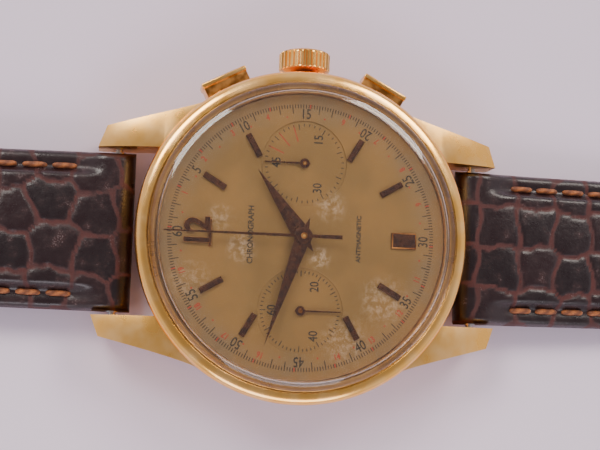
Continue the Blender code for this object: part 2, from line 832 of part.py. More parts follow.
def hands(skin):
    kite_hand(
        "hour_hand", HOUR_HAND_L, 2.0, 0.95, HOUR_HAND_Z, HOUR_PIPE_R + HAND_FIT, 1.0, TIME_HOURS * 30, skin
    )
    minutes = TIME_HOURS % 1 * 60
    cannon_hole = CANNON_R + HAND_FIT
    kite_hand("minute_hand", MINUTE_HAND_L, 2.15, 0.8, MINUTE_HAND_Z, cannon_hole, 0.8, minutes * 6, skin)
    pin_hand(
        "chronograph_hand",
        SWEEP_HAND_L,
        SWEEP_TAIL_L,
        (0.17, 0.08, 0.22),
        SWEEP_HAND_Z,
        0.85,
        (0.33, 0.43),
        (0, 0),
        0,
        skin,
    )
    for name, x, degrees in (
        ("minute_counter_hand", SUBDIAL_X, 0),
        ("running_seconds_hand", -SUBDIAL_X, RUNNING_SECONDS * 6),
    ):
        pin_hand(
            name,
            SMALL_HAND_L,
            0.6,
            (0.12, 0.07, 0.12),
            SMALL_HAND_Z,
            0.5,
            (0.25, 0.22),
            (x, 0),
            degrees,
            skin,
        )


def main_plate(skin):
    z0, z1 = PLATE_Z
    pivot = PIVOT_R + PIVOT_FIT
    spots = [
        ((0, 0), CENTRE_TUBE_R + PIVOT_FIT),
        ((SUBDIAL_X, 0), SMALL_ARBOR_R + PIVOT_FIT),
        ((-SUBDIAL_X, 0), SMALL_ARBOR_R + PIVOT_FIT),
        (THIRD_AT, pivot),
        (ESCAPE_AT, pivot),
        (PALLET_AT, pivot),
        (BALANCE_AT, pivot),
        (BARREL_AT, BARREL_ARBOR_R + PIVOT_FIT),
    ]
    body = disc("main_plate", MOVEMENT_R, z0, z1, skin=skin, steps=48, spots=spots)
    join(body, disc("minute_post", 0.2, z1 - 0.5, z1 + 0.5, MINUTE_WHEEL_AT, steps=8))
    stem_bore, stem_room = STEM_R + 0.12, STEM_START_X - 0.15
    clearance = turned(
        "stem_channel",
        [(0, RING_R), (stem_bore, RING_R), (stem_bore, stem_room), (0, stem_room)],
        place=(0, 0, STEM_Z),
        turn=radial(0),
        steps=16,
    )
    pinion_end = STEM_START_X + 0.15 + WINDING_PINION_L + CROWN_TRAVEL + 0.15
    pocket = turned(
        "pinion_pocket",
        [
            (0, pinion_end),
            (WINDING_PINION_R + 0.12, pinion_end),
            (WINDING_PINION_R + 0.12, STEM_START_X - 0.1),
            (0, STEM_START_X - 0.1),
        ],
        place=(0, 0, STEM_Z),
        turn=radial(0),
        steps=16,
    )
    return cut(body, clearance, pocket)


def movement_ring(skin):
    top = DIAL_Z - DIAL_T - SEAT_GAP
    bore = ((0, 0), MOVEMENT_R + RING_GAP)
    ring = disc("movement_ring", RING_R, RING_BOTTOM_Z, top, skin=skin, steps=48, spots=[bore])
    for name, angle, z, radius in (
        ("stem", 0, STEM_Z, STEM_R + 0.15),
        ("start", PUSHER_ANGLE, PUSHER_STEM_Z, PUSHER_STEM_R + 0.15),
        ("reset", -PUSHER_ANGLE, PUSHER_STEM_Z, PUSHER_STEM_R + 0.15),
    ):
        cut(
            ring,
            turned(
                f"ring_{name}_hole",
                [(0, RING_R + 1), (radius, RING_R + 1), (radius, MOVEMENT_R - 1), (0, MOVEMENT_R - 1)],
                place=(0, 0, z),
                turn=radial(angle),
                steps=16,
            ),
        )
    return ring


def bridges(skin):
    z0, z1 = BRIDGE_Z
    pillar_top = PLATE_Z[0] - SEAT_GAP
    pivot = PIVOT_R + PIVOT_FIT
    spots = [
        (COCK_FOOT_AT, COCK_FOOT_R + 0.35),
        ((0, 0), CENTRE_TUBE_R + PIVOT_FIT),
        ((SUBDIAL_X, 0), SMALL_ARBOR_R + PIVOT_FIT),
        ((-SUBDIAL_X, 0), pivot),
        (THIRD_AT, pivot),
        (ESCAPE_AT, pivot),
        (PALLET_AT, pivot),
        (BARREL_AT, BARREL_ARBOR_R + PIVOT_FIT),
    ]
    bridge = disc("train_bridge", MOVEMENT_R - 0.35, z0, z1, skin=skin, steps=48, spots=spots)
    cut(bridge, disc("balance_room", BALANCE_R + 0.15, z0 - 1, z1 + 1, BALANCE_AT, steps=24))
    cut(bridge, disc("crown_wheel_room", CROWN_WHEEL_R + 0.15, z0 - 1, z1 + 1, CROWN_WHEEL_AT, steps=20))
    join(bridge, disc("intermediate_post", 0.3, LEVER_Z[0] - 0.05, z0 + 0.3, INTERMEDIATE_AT, steps=8))
    for i, at in enumerate(PILLARS_AT):
        join(bridge, disc(f"bridge_pillar_{i}", 0.9, z1 - 0.3, pillar_top, at, steps=12))
    for sign in (1, -1):
        at = (LEVER_PIVOT_AT[0], sign * LEVER_PIVOT_AT[1])
        join(bridge, disc(f"lever_post_{sign}", 0.3, LEVER_Z[0] - 0.05, z0 + 0.3, at, steps=8))
        angle = sign * PUSHER_ANGLE
        notch = box(
            f"lever_notch_{sign}",
            (2.6, 2 * LEVER_TAB_W + 0.4, 3.0),
            (*polar(PUSHER_STEM_END_R - PUSHER_TRAVEL + 0.25, angle), z0),
            turn=(0, 0, math.radians(angle)),
        )
        cut(bridge, notch)
    arm_outline = slot_outline(BALANCE_AT, COCK_FOOT_AT, 1.1, COCK_FOOT_R + 0.05)
    cock_outlines = [arm_outline, circle(pivot, BALANCE_AT, 12)]
    cock = plate("balance_cock", cock_outlines, *COCK_Z, skin)
    foot = disc("cock_foot", COCK_FOOT_R, COCK_Z[0] + 0.1, pillar_top, COCK_FOOT_AT, steps=24)
    join(cock, foot)
    left, right = CHRONO_FEET_AT
    chrono_outlines = [
        slot_outline(left, CROWN_WHEEL_AT, 0.95, 0.75),
        circle(SWEEP_ARBOR_R + PIVOT_FIT, steps=12),
        circle(SMALL_ARBOR_R + PIVOT_FIT, (SUBDIAL_X, 0), 12),
    ]
    chrono = plate("chronograph_bridge", chrono_outlines, *CHRONO_BRIDGE_Z, skin)
    post_top = CROWN_WHEEL_Z[1] + 0.04
    for name, at, radius, top in (
        ("left", left, 0.75, z0 - SEAT_GAP),
        ("right", right, 0.75, z0 - SEAT_GAP),
        ("post", CROWN_WHEEL_AT, 0.45, post_top),
    ):
        join(chrono, disc(f"chrono_foot_{name}", radius, CHRONO_BRIDGE_Z[0] + 0.1, top, at, steps=12))


def slot_outline(a, b, radius_a, radius_b, steps=10):
    """The outline round two circles, as of a bar with round ends."""
    heading = math.atan2(b[1] - a[1], b[0] - a[0])
    right_angle = math.pi / 2
    first = circle(radius_a, a, steps, heading + right_angle, heading + 3 * right_angle)
    second = circle(radius_b, b, steps, heading - right_angle, heading + right_angle)
    return [*first, *second]


def wheel(name, at, disc_teeth, disc_r, disc_z, arbor, pinion=None, skin=None, bore=0.0):
    """A toothed wheel with its arbor profile (radius, z from top to bottom) and an optional pinion."""
    outlines = [teeth(disc_teeth, disc_r, disc_r - 0.18)]
    body = plate(name, outlines, *disc_z, skin, place=(*at, 0))
    staff = turned(name + "_staff", arbor, place=(*at, 0), steps=8)
    join(body, staff)
    if pinion:
        leaves, radius, z0, z1 = pinion
        join(body, plate(name + "_pinion", [teeth(leaves, radius, radius - 0.12)], z0, z1, place=(*at, 0)))
    if bore:
        cut(body, disc(name + "_bore", bore, 0, 20, at, steps=12))
    return body


def staff_profile(r, z_low, z_high, pivot_low, pivot_high, top_r=PIVOT_R):
    """A plain staff with a thin pivot at each end, as (radius, z) points from the top down."""
    return [
        (0, pivot_high),
        (top_r, pivot_high),
        (top_r, z_high),
        (r, z_high),
        (r, z_low),
        (PIVOT_R, z_low),
        (PIVOT_R, pivot_low),
        (0, pivot_low),
    ]


def going_train(skins):
    brass, steel = skins["brass"], skins["steel"]
    low, high = BRIDGE_Z[1] + 0.05, PLATE_Z[0] - 0.08
    pivot_low, pivot_high = BRIDGE_Z[0] + 0.2, PLATE_Z[0] + 0.4
    tube_low, tube_top = BRIDGE_Z[0] + 0.05, PLATE_Z[1] + 0.65
    wheel(
        "centre_wheel",
        (0, 0),
        40,
        CENTRE_WHEEL_R,
        CENTRE_WHEEL_Z,
        [(0, tube_top), (CENTRE_TUBE_R, tube_top), (CENTRE_TUBE_R, tube_low), (0, tube_low)],
        (10, CENTRE_PINION_R, *CENTRE_PINION_Z),
        brass,
        bore=SWEEP_ARBOR_R + 0.04,
    )
    wheel(
        "third_wheel",
        THIRD_AT,
        36,
        THIRD_WHEEL_R,
        THIRD_WHEEL_Z,
        staff_profile(0.25, low, high, pivot_low, pivot_high),
        (8, THIRD_PINION_R, *THIRD_PINION_Z),
        brass,
    )
    wheel(
        "fourth_wheel",
        (-SUBDIAL_X, 0),
        30,
        FOURTH_WHEEL_R,
        FOURTH_WHEEL_Z,
        staff_profile(0.25, low, high, pivot_low, SMALL_HAND_Z + HAND_T, top_r=SMALL_ARBOR_R),
        (8, FOURTH_PINION_R, *FOURTH_PINION_Z),
        brass,
    )
    wheel(
        "escape_wheel",
        ESCAPE_AT,
        15,
        ESCAPE_WHEEL_R,
        ESCAPE_WHEEL_Z,
        staff_profile(0.2, low, high, pivot_low, pivot_high),
        (7, ESCAPE_PINION_R, *ESCAPE_PINION_Z),
        steel,
    )
    arbor_hole = ((0, 0), BARREL_ARBOR_R + PIVOT_FIT)
    barrel = disc("mainspring_barrel", BARREL_R, *BARREL_Z, BARREL_AT, brass, steps=28, spots=[arbor_hole])
    toothed = [teeth(40, BARREL_TEETH_R, BARREL_TEETH_R - 0.2), circle(BARREL_R - 0.8, steps=16)]
    join(barrel, plate("barrel_teeth", toothed, *BARREL_TEETH_Z, place=(*BARREL_AT, 0)))
    arbor_low, arbor_top = LEVER_Z[0] - 0.05, PLATE_Z[0] + 0.7
    wheel(
        "ratchet_wheel",
        BARREL_AT,
        36,
        RATCHET_R,
        LEVER_Z,
        [(0, arbor_top), (BARREL_ARBOR_R, arbor_top), (BARREL_ARBOR_R, arbor_low), (0, arbor_low)],
        None,
        steel,
    )
    crown_top = CROWN_WHEEL_Z[1] + 0.04
    wheel(
        "crown_wheel",
        CROWN_WHEEL_AT,
        22,
        CROWN_WHEEL_R,
        CROWN_WHEEL_Z,
        [(0, crown_top), (1.2, crown_top), (1.2, LEVER_Z[0] + 0.1), (0, LEVER_Z[0] + 0.1)],
        None,
        steel,
        bore=0.5,
    )
    boss_top = BRIDGE_Z[0] - SEAT_GAP
    wheel(
        "intermediate_winding_wheel",
        INTERMEDIATE_AT,
        17,
        INTERMEDIATE_R,
        LEVER_Z,
        [(0, boss_top), (0.7, boss_top), (0.7, LEVER_Z[0] + 0.1), (0, LEVER_Z[0] + 0.1)],
        None,
        steel,
        bore=0.3 + PIVOT_FIT,
    )


def motion_work(skin):
    z_plate = PLATE_Z[1]
    cannon_top, pipe_top = MINUTE_HAND_Z + 0.1, HOUR_HAND_Z + 0.13
    wheel(
        "cannon_pinion",
        (0, 0),
        12,
        CANNON_TEETH_R,
        CANNON_TEETH_Z,
        [(0, cannon_top), (CANNON_R, cannon_top), (CANNON_R, z_plate + 0.03), (0, z_plate + 0.03)],
        None,
        skin,
        bore=CENTRE_TUBE_R + 0.025,
    )
    pinion_top = HOUR_WHEEL_Z[1] + 0.05
    wheel(
        "minute_wheel",
        MINUTE_WHEEL_AT,
        36,
        MINUTE_WHEEL_R,
        MINUTE_WHEEL_Z,
        [(0, pinion_top), (0.4, pinion_top), (0.4, z_plate + 0.08), (0, z_plate + 0.08)],
        (10, MINUTE_PINION_R, z_plate + 0.15, pinion_top),
        skin,
        bore=0.25,
    )
    pipe_low = HOUR_WHEEL_Z[0] + 0.01
    wheel(
        "hour_wheel",
        (0, 0),
        40,
        HOUR_WHEEL_R,
        HOUR_WHEEL_Z,
        [(0, pipe_top), (HOUR_PIPE_R, pipe_top), (HOUR_PIPE_R, pipe_low), (0, pipe_low)],
        None,
        skin,
        bore=CANNON_R + 0.04,
    )


def escapement(skins):
    low, high = BRIDGE_Z[1] + 0.05, PLATE_Z[0] - 0.08
    pivot_low, pivot_high = BRIDGE_Z[0] + 0.2, PLATE_Z[0] + 0.4
    to_balance = math.atan2(BALANCE_AT[1] - PALLET_AT[1], BALANCE_AT[0] - PALLET_AT[0])
    to_escape = math.atan2(ESCAPE_AT[1] - PALLET_AT[1], ESCAPE_AT[0] - PALLET_AT[0])
    arm, arm_w, reach, half = 4.2, 0.18, 0.9, 1.3
    arm_side = [(0, arm_w), (arm - 0.7, arm_w), (arm, 0.35)]
    arm_outline = [*[(x, -y) for x, y in arm_side], *reversed(arm_side)]
    anchor_outline = [
        (-0.3, -half),
        (reach, -half),
        (reach, -half + 0.4),
        (0.3, -0.5),
        (0.3, 0.5),
        (reach, half - 0.4),
        (reach, half),
        (-0.3, half),
    ]
    fork = plate(
        "pallet_fork",
        [anchor_outline],
        *PALLET_Z,
        skins["steel"],
        place=(*PALLET_AT, 0),
        turn=(0, 0, to_escape),
    )
    arm_plate = plate(
        "pallet_arm",
        [arm_outline],
        PALLET_Z[0] + 0.02,
        PALLET_Z[1] - 0.02,
        place=(*PALLET_AT, 0),
        turn=(0, 0, to_balance),
    )
    staff_side = staff_profile(0.15, low, high, pivot_low, pivot_high)
    staff = turned("pallet_staff", staff_side, place=(*PALLET_AT, 0), steps=8)
    join(fork, arm_plate, staff)

    inside = ((0, 0), BALANCE_R - 0.5)
    rim = disc("balance_wheel", BALANCE_R, *BALANCE_Z, BALANCE_AT, skins["brass"], steps=24, spots=[inside])
    arms = box(
        "balance_arms",
        (2 * BALANCE_R - 0.5, 0.7, 0.2),
        (*BALANCE_AT, sum(BALANCE_Z) / 2),
        turn=(0, 0, math.radians(25)),
    )
    staff_low = COCK_Z[1] + 0.05
    axle = turned(
        "balance_staff",
        staff_profile(0.2, staff_low, high, COCK_Z[0] + 0.15, pivot_high),
        place=(*BALANCE_AT, 0),
        steps=12,
    )
    roller = disc("balance_roller", 0.5, *PALLET_Z, BALANCE_AT, steps=16)
    join(rim, arms, axle, roller)

    turns, per_turn, first_r, last_r, level = 4.5, 14, 0.5, 2.3, HAIRSPRING_Z
    count = int(turns * per_turn)
    spiral = [
        (*polar(first_r + (last_r - first_r) * i / count, 360 * i / per_turn), level)
        for i in range(count + 1)
    ]
    wire("hairspring", spiral, 0.06, skins["steel"], sides=0, place=(*BALANCE_AT, 0))


def chronograph_works(skins):
    steel, brass = skins["steel"], skins["brass"]
    pivot_z = CHRONO_BRIDGE_Z[0] + 0.1
    runner_top, counter_top = SWEEP_HAND_Z + 0.38, SMALL_HAND_Z + 0.18
    wheel(
        "chronograph_runner",
        (0, 0),
        40,
        RUNNER_R,
        CHRONO_WHEEL_Z,
        [(0, runner_top), (SWEEP_ARBOR_R, runner_top), (SWEEP_ARBOR_R, pivot_z), (0, pivot_z)],
        None,
        brass,
    )
    wheel(
        "minute_counter_wheel",
        (SUBDIAL_X, 0),
        28,
        COUNTER_WHEEL_R,
        CHRONO_WHEEL_Z,
        [(0, counter_top), (SMALL_ARBOR_R, counter_top), (SMALL_ARBOR_R, pivot_z), (0, pivot_z)],
        None,
        brass,
    )
    for name, sign in (("operating_lever", 1), ("reset_hammer", -1)):
        pusher_lever(name, sign, steel)


def pusher_lever(name, sign, skin):
    """A flat lever on a bridge post, with an upright tab in front of its pusher's stem."""
    pivot = Vector((LEVER_PIVOT_AT[0], sign * LEVER_PIVOT_AT[1]))
    face_r = PUSHER_STEM_END_R - SEAT_GAP
    tab = Vector(polar(face_r - LEVER_TAB_T / 2, sign * PUSHER_ANGLE))
    reach = tab - pivot
    beak = Vector((-0.9, -2.2 * sign))
    body = plate(name, [slot_outline((0, 0), reach, 0.75, 0.3)], *LEVER_Z, skin, place=(*pivot, 0))
    second = plate(name + "_beak", [slot_outline((0, 0), beak, 0.7, 0.25)], *LEVER_Z, place=(*pivot, 0))
    upright = box(
        name + "_tab",
        (LEVER_TAB_T, LEVER_TAB_W, PUSHER_STEM_Z + 0.45 - LEVER_Z[0]),
        (*tab, (PUSHER_STEM_Z + 0.45 + LEVER_Z[0]) / 2),
        turn=(0, 0, math.radians(sign * PUSHER_ANGLE)),
    )
    join(body, second, upright)
    return cut(body, disc(name + "_pivot", 0.3 + PIVOT_FIT, 0, 6, pivot, steps=12))


# ---------------------------------------------------------------- strap and buckle
def strap_half_width(distance, length):
    """Half the strap's width at a distance from its spring bar."""
    taper = min(max(distance / length, 0.0), 1.0)
    return (STRAP_W + (STRAP_TIP_W - STRAP_W) * taper) / 2


def strap_side(length, rest_z, end_radius):
    """A strap half's side view as (distance from the spring bar, z), from loop to free end."""
    loop = circle(STRAP_LOOP_R, (0, BAR_Z), 12, math.radians(270), math.radians(90))
    loop_top, pad_end = (3.0, BAR_Z + STRAP_LOOP_R), (PAD_L, rest_z + STRAP_END_T + 0.6)
    top = bezier(loop_top, (14.0, rest_z + STRAP_PAD_T + 0.5), pad_end, 6)
    if end_radius:
        centre = (length, rest_z + end_radius)
        end = circle(end_radius, centre, 8, math.radians(90), math.radians(-90))
    else:
        end = [(length, rest_z + STRAP_END_T), (length, rest_z)]
    low = [(9.0, rest_z), (4.0, rest_z + 0.25)]
    return [*loop, *top, *end, *low]


def strap_half(name, sign, length, rest_z, end_radius, skin):
    """One leather half. Its side view is extruded across and tapered along its length."""
    sides = [strap_side(length, rest_z, end_radius), circle(BAR_R + 0.1, (0, BAR_Z), 16)]
    if end_radius:
        sides.append(circle(BUCKLE_PIN_R + 0.1, (length, rest_z + end_radius), 12))
    body = plate(name, sides, -STRAP_W / 2, STRAP_W / 2, skin)
    across = Matrix(((0, 0, 1, 0), (sign, 0, 0, 0), (0, 1, 0, 0), (0, 0, 0, 1)))
    body.data.transform(across)
    if sign < 0:
        body.data.flip_normals()
    for vertex in body.data.vertices:
        share = strap_half_width(abs(vertex.co.y) / MM, length) / (STRAP_W / 2)
        vertex.co.x *= share
    body.location = Vector((0, sign * BAR_Y, 0)) * MM
    return body


def strap(skins):
    leather = skins["leather"]
    rest_z = KEEPER_LEATHER + SEAT_GAP
    end_radius = STRAP_END_T / 2
    buckle_y = BAR_Y + BUCKLE_SIDE_L
    first = strap_half("strap_buckle_side", 1, BUCKLE_SIDE_L, rest_z, end_radius, leather)
    tongue_slot = box("tongue_slot", (TONGUE_W + 0.9, 8.0, 6.0), (0, buckle_y + 0.6, rest_z + 1))
    cut(first, tongue_slot)
    second = strap_half("strap_tip_side", -1, TIP_SIDE_L, 0.0, 0.0, leather)
    tip_y = -(BAR_Y + TIP_SIDE_L)
    for i in range(HOLE_COUNT):
        y = tip_y + FIRST_HOLE_FROM_TIP + i * HOLE_PITCH
        cut(second, disc(f"strap_hole_{i}", HOLE_R, -2, 8, (0, y), steps=16), solver="MANIFOLD")
    half = STRAP_TIP_W / 2
    curve = bezier((half - 0.1, tip_y + 9), (half - 0.6, tip_y + 1.5), (0, tip_y + 0.1), 6)
    flank_x = strap_half_width(TIP_SIDE_L - 11, TIP_SIDE_L) + 0.1
    flank = [(flank_x, tip_y + 11), *curve]
    point = plate(
        "tip_trim",
        [
            [
                (-20, tip_y - 5),
                (20, tip_y - 5),
                (20, tip_y + 11),
                *flank,
                *[(-x, y) for x, y in reversed(flank[:-1])],
                (-20, tip_y + 11),
            ]
        ],
        -2,
        8,
    )
    cut(second, point, solver="MANIFOLD")
    keeper("fixed_keeper", buckle_y, FIXED_KEEPER_BACK, 0.0, leather)
    keeper("sliding_keeper", buckle_y, SLIDING_KEEPER_BACK, KEEPER_TRAVEL, leather)
    for side, y in (("12", BAR_Y), ("6", -BAR_Y)):
        spring_bar(f"spring_bar_{side}", y, skins["steel"])
    buckle(buckle_y, rest_z + end_radius, skins)


def keeper(name, buckle_y, back, travel, skin):
    """A leather loop round the strap, with room for the tip side above it."""
    ends = (BUCKLE_SIDE_L - back + KEEPER_W / 2, BUCKLE_SIDE_L - back - travel - KEEPER_W / 2)
    half = max(strap_half_width(end, BUCKLE_SIDE_L) for end in ends) + 0.35
    outer = half + KEEPER_LEATHER
    top = KEEPER_LEATHER + KEEPER_ROOM
    outline = rounded_rectangle(-outer, 0, outer, top + KEEPER_LEATHER, 1.2)
    window = rounded_rectangle(-half, KEEPER_LEATHER, half, top, 0.5)
    band = plate(name, [outline, window], -KEEPER_W / 2, KEEPER_W / 2, skin)
    band.data.transform(Matrix.Rotation(math.pi / 2, 4, "X"))
    band.location = Vector((0, buckle_y - back, 0)) * MM


def rounded_rectangle(x0, y0, x1, y1, radius, steps=3):
    corners = (
        ((x1 - radius, y1 - radius), 0),
        ((x0 + radius, y1 - radius), 90),
        ((x0 + radius, y0 + radius), 180),
        ((x1 - radius, y0 + radius), 270),
    )
    made = []
    for centre, start in corners:
        made += circle(radius, centre, steps, math.radians(start), math.radians(start + 90))
    return made


def spring_bar(name, y, skin):
    body_x = LUG_GAP / 2 - 0.35
    tip_x = LUG_GAP / 2 + BAR_TIP_L
    half = [(0, tip_x), (BAR_TIP_R, tip_x), (BAR_TIP_R, body_x), (BAR_R, body_x)]
    profile = [*half, *[(r, -z) for r, z in reversed(half)]]
    return turned(name, profile, skin, place=(0, y, BAR_Z), turn=(0, math.pi / 2, 0), steps=16)


def buckle(y, z, skins):
    """A thumbnail-shaped frame, its pin through the strap end, and the tongue that turns on the pin."""
    inner = STRAP_TIP_W / 2 + 0.45
    outer = inner + BUCKLE_BAR
    far = BUCKLE_WINDOW_L
    outline = [
        (-outer, -0.9),
        (-outer + 0.3, -1.2),
        (-inner - 0.3, -1.2),
        (-inner, -0.9),
        (-inner, far - 1),
        (-inner + 1, far),
        (inner - 1, far),
        (inner, far - 1),
        (inner, -0.9),
        (inner + 0.3, -1.2),
        (outer - 0.3, -1.2),
        (outer, -0.9),
        *bezier((outer, far - 0.5), (outer - 0.2, far + 2.2), (outer - 4, far + 2.3), 4),
        *bezier((-outer + 4, far + 2.3), (-outer + 0.2, far + 2.2), (-outer, far - 0.5), 4),
    ]
    frame = plate("buckle_frame", [outline], -BUCKLE_T / 2, BUCKLE_T / 2, skins["gold"], place=(0, y, z))
    bore_r, bore_x = BUCKLE_PIN_R + SEAT_GAP, outer - 0.5
    bore = turned(
        "buckle_bore",
        [(0, bore_x), (bore_r, bore_x), (bore_r, -bore_x), (0, -bore_x)],
        place=(0, y, z),
        turn=(0, math.pi / 2, 0),
        steps=16,
    )
    cut(frame, bore)
    frame.rotation_euler.x = -BUCKLE_DROOP
    pin_x = outer - 0.6
    turned(
        "buckle_pin",
        [(0, pin_x), (BUCKLE_PIN_R, pin_x), (BUCKLE_PIN_R, -pin_x), (0, -pin_x)],
        skins["steel"],
        place=(0, y, z),
        turn=(0, math.pi / 2, 0),
        steps=16,
    )
    lift = BUCKLE_T / 2 + 0.1
    side = [
        *circle(1.15, (0, 0), 10, math.radians(200), math.radians(70)),
        (3.5, lift + 0.75),
        (far + 1.9, lift + 0.75),
        (far + 2.3, lift + 0.35),
        (far + 2.2, lift),
        (far - 0.6, lift),
        (far - 1.4, -0.1),
        (3.0, -0.1),
        *circle(1.15, (0, 0), 6, math.radians(-40), math.radians(-120)),
    ]
    outlines = [side, circle(BUCKLE_PIN_R + 0.08, steps=16)]
    tongue = plate("buckle_tongue", outlines, -TONGUE_W / 2, TONGUE_W / 2, skins["gold"])
    tongue.data.transform(Matrix(((0, 0, 1, 0), (1, 0, 0, 0), (0, 1, 0, 0), (0, 0, 0, 1))))
    tongue.location = Vector((0, y, z)) * MM
    tongue.rotation_euler.x = -BUCKLE_DROOP


def smooth_all():
    for obj in collection.objects:
        if obj.type == "MESH":
            obj.data.shade_smooth()
            obj.data.set_sharp_from_angle(angle=SMOOTH_ANGLE)


def main():
    global collection, helpers
    clear_scene()
    collection = new_collection("chronograph_wristwatch")
    helpers = new_collection("cutters")
    skins = make_materials()
    case_middle(skins["gold"])
    bezel(skins["gold"])
    crystal(skins["crystal"])
    case_back(skins["steel"])
    crown_parts(skins)
    for name, angle in (("start_pusher", PUSHER_ANGLE), ("reset_pusher", -PUSHER_ANGLE)):
        pusher(name, angle, skins["gold"])
        pusher_spring(name + "_spring", angle, skins["steel"])
    dial(skins["dial"])
    for hour in BATON_HOURS:
        hour_marker(f"hour_marker_{hour}", hour, MARKER_W, skins["rose"])
    hour_marker("hour_marker_6", 6, SIX_MARKER_W, skins["rose"])
    twelve_numeral(skins["rose"])
    hands(skins["rose"])
    main_plate(skins["nickel"])
    movement_ring(skins["brass"])
    bridges(skins["nickel"])
    going_train(skins)
    motion_work(skins["brass"])
    escapement(skins)
    chronograph_works(skins)
    strap(skins)
    smooth_all()


main()
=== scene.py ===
"""A two-register chronograph wristwatch on a leather strap, laid out as a Blender add-on.

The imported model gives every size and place. Each operator makes one piece or a group of like pieces.
Lengths inside the functions are in millimetres, and MM turns them into metres.
"""

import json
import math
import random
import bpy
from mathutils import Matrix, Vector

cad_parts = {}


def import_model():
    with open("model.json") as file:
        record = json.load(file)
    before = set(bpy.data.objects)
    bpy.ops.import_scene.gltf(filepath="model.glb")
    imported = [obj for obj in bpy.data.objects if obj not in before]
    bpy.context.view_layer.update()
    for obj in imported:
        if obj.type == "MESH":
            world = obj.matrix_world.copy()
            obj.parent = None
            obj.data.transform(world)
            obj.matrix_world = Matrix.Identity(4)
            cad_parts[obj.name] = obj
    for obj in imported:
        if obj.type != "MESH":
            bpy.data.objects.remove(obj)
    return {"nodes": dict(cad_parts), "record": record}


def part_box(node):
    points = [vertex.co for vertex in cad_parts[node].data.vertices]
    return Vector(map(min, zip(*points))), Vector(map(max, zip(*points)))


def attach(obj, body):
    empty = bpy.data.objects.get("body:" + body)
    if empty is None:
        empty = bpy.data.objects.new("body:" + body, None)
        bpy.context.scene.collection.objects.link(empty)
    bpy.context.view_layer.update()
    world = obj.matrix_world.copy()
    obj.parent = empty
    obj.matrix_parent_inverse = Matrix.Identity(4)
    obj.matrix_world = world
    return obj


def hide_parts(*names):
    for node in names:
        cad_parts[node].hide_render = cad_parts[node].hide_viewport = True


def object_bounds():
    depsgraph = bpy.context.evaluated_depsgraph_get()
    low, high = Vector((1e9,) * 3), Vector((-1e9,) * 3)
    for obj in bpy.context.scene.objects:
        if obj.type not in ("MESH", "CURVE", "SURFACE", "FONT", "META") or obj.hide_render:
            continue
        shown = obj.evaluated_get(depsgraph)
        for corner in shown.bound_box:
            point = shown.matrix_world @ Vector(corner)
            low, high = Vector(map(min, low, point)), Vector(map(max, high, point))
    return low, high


bl_info = {
    "name": "Chronograph Wristwatch",
    "version": (1, 0, 0),
    "blender": (4, 5, 0),
    "location": "View3D > Sidebar > Watch",
    "description": "Makes the case, dial, hands, strap and buckle of a chronograph wristwatch",
    "category": "Add Mesh",
}

import bmesh
import bpy
from mathutils import Matrix, Vector
from mathutils.kdtree import KDTree

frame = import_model()
cad_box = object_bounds()

MM = 0.001
ROUND = 144  # segments of a large turned piece
WELD = 1e-6  # points closer than this, in metres, are one


def span(node):
    """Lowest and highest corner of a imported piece, in millimetres."""
    low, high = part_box(node)
    return Vector(low) / MM, Vector(high) / MM


def middle(node, axis):
    """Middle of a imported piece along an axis, in millimetres."""
    low, high = span(node)
    return (low[axis] + high[axis]) / 2


Y, Z = 1, 2  # axes
DIAL_TOP = span("dial")[1].z
CASE_HIGH = span("case_middle")[1]
BEZEL_R, BEZEL_TOP = span("bezel")[1].x, span("bezel")[1].z
CRYSTAL_TOP = span("crystal")[1].z
BAR_Y, BAR_Z = middle("spring_bar_12", Y), middle("spring_bar_12", Z)
PIN_Y, PIN_Z = middle("buckle_pin", Y), middle("buckle_pin", Z)
STEM_Z = middle("crown", Z)
REGISTER_X = 8.0  # from the middle of the dial to that of a register
PUSHER_ANGLE = 27.5  # degrees from the crown to each pusher
INK = 0.006  # how far print stands above what it is printed on
PRINT_Z = DIAL_TOP + INK
ON_SIDE = Matrix(((0, 0, 1, 0), (1, 0, 0, 0), (0, 1, 0, 0), (0, 0, 0, 1)))  # X to Y, Y to Z, Z to X


# ---------------------------------------------------------------- sizes and colours a user may change
def length(name, description, millimetres):
    return bpy.props.FloatProperty(
        name=name, description=description, default=millimetres * MM, unit="LENGTH", precision=5
    )


def colour(name, description, hex_text):
    shown = {"subtype": "COLOR", "size": 3, "min": 0, "max": 1}
    return bpy.props.FloatVectorProperty(
        name=name, description=description, default=linear(hex_text), **shown
    )


def linear(hex_text):
    """An sRGB hex colour as linear red, green and blue."""
    parts = [int(hex_text[i : i + 2], 16) / 255 for i in (1, 3, 5)]
    return tuple(c / 12.92 if c <= 0.04045 else ((c + 0.055) / 1.055) ** 2.4 for c in parts)


class WatchSizes(bpy.types.PropertyGroup):
    crystal_wall: length("Crystal wall", "Thickness of the acrylic crystal", 0.9)
    lug_edge: length("Lug edge", "Rounding along the lugs' edges", 0.28)
    flute_depth: length("Flute depth", "Depth of the crown's flutes", 0.2)
    tick_width: length("Tick width", "Width of the fine marks round the dial", 0.095)
    figure_height: length("Figure height", "Height of the seconds figures", 1.08)
    red_figure_height: length("Red figure height", "Height of the decimal figures", 0.66)
    hand_ridge: length("Hand ridge", "Rise of the ridge along the hour and minute hands", 0.14)
    marker_bevel: length("Marker bevel", "Width of the bevel round the hour markers", 0.13)
    scale_pitch: length("Scale pitch", "Usual length of a crocodile scale", 4.4)
    crease_depth: length("Crease depth", "Depth of the creases between scales", 0.2)
    stitch_pitch: length("Stitch pitch", "From one stitch to the next", 3.2)
    stitch_inset: length("Stitch inset", "From the strap's edge to its stitches", 1.75)


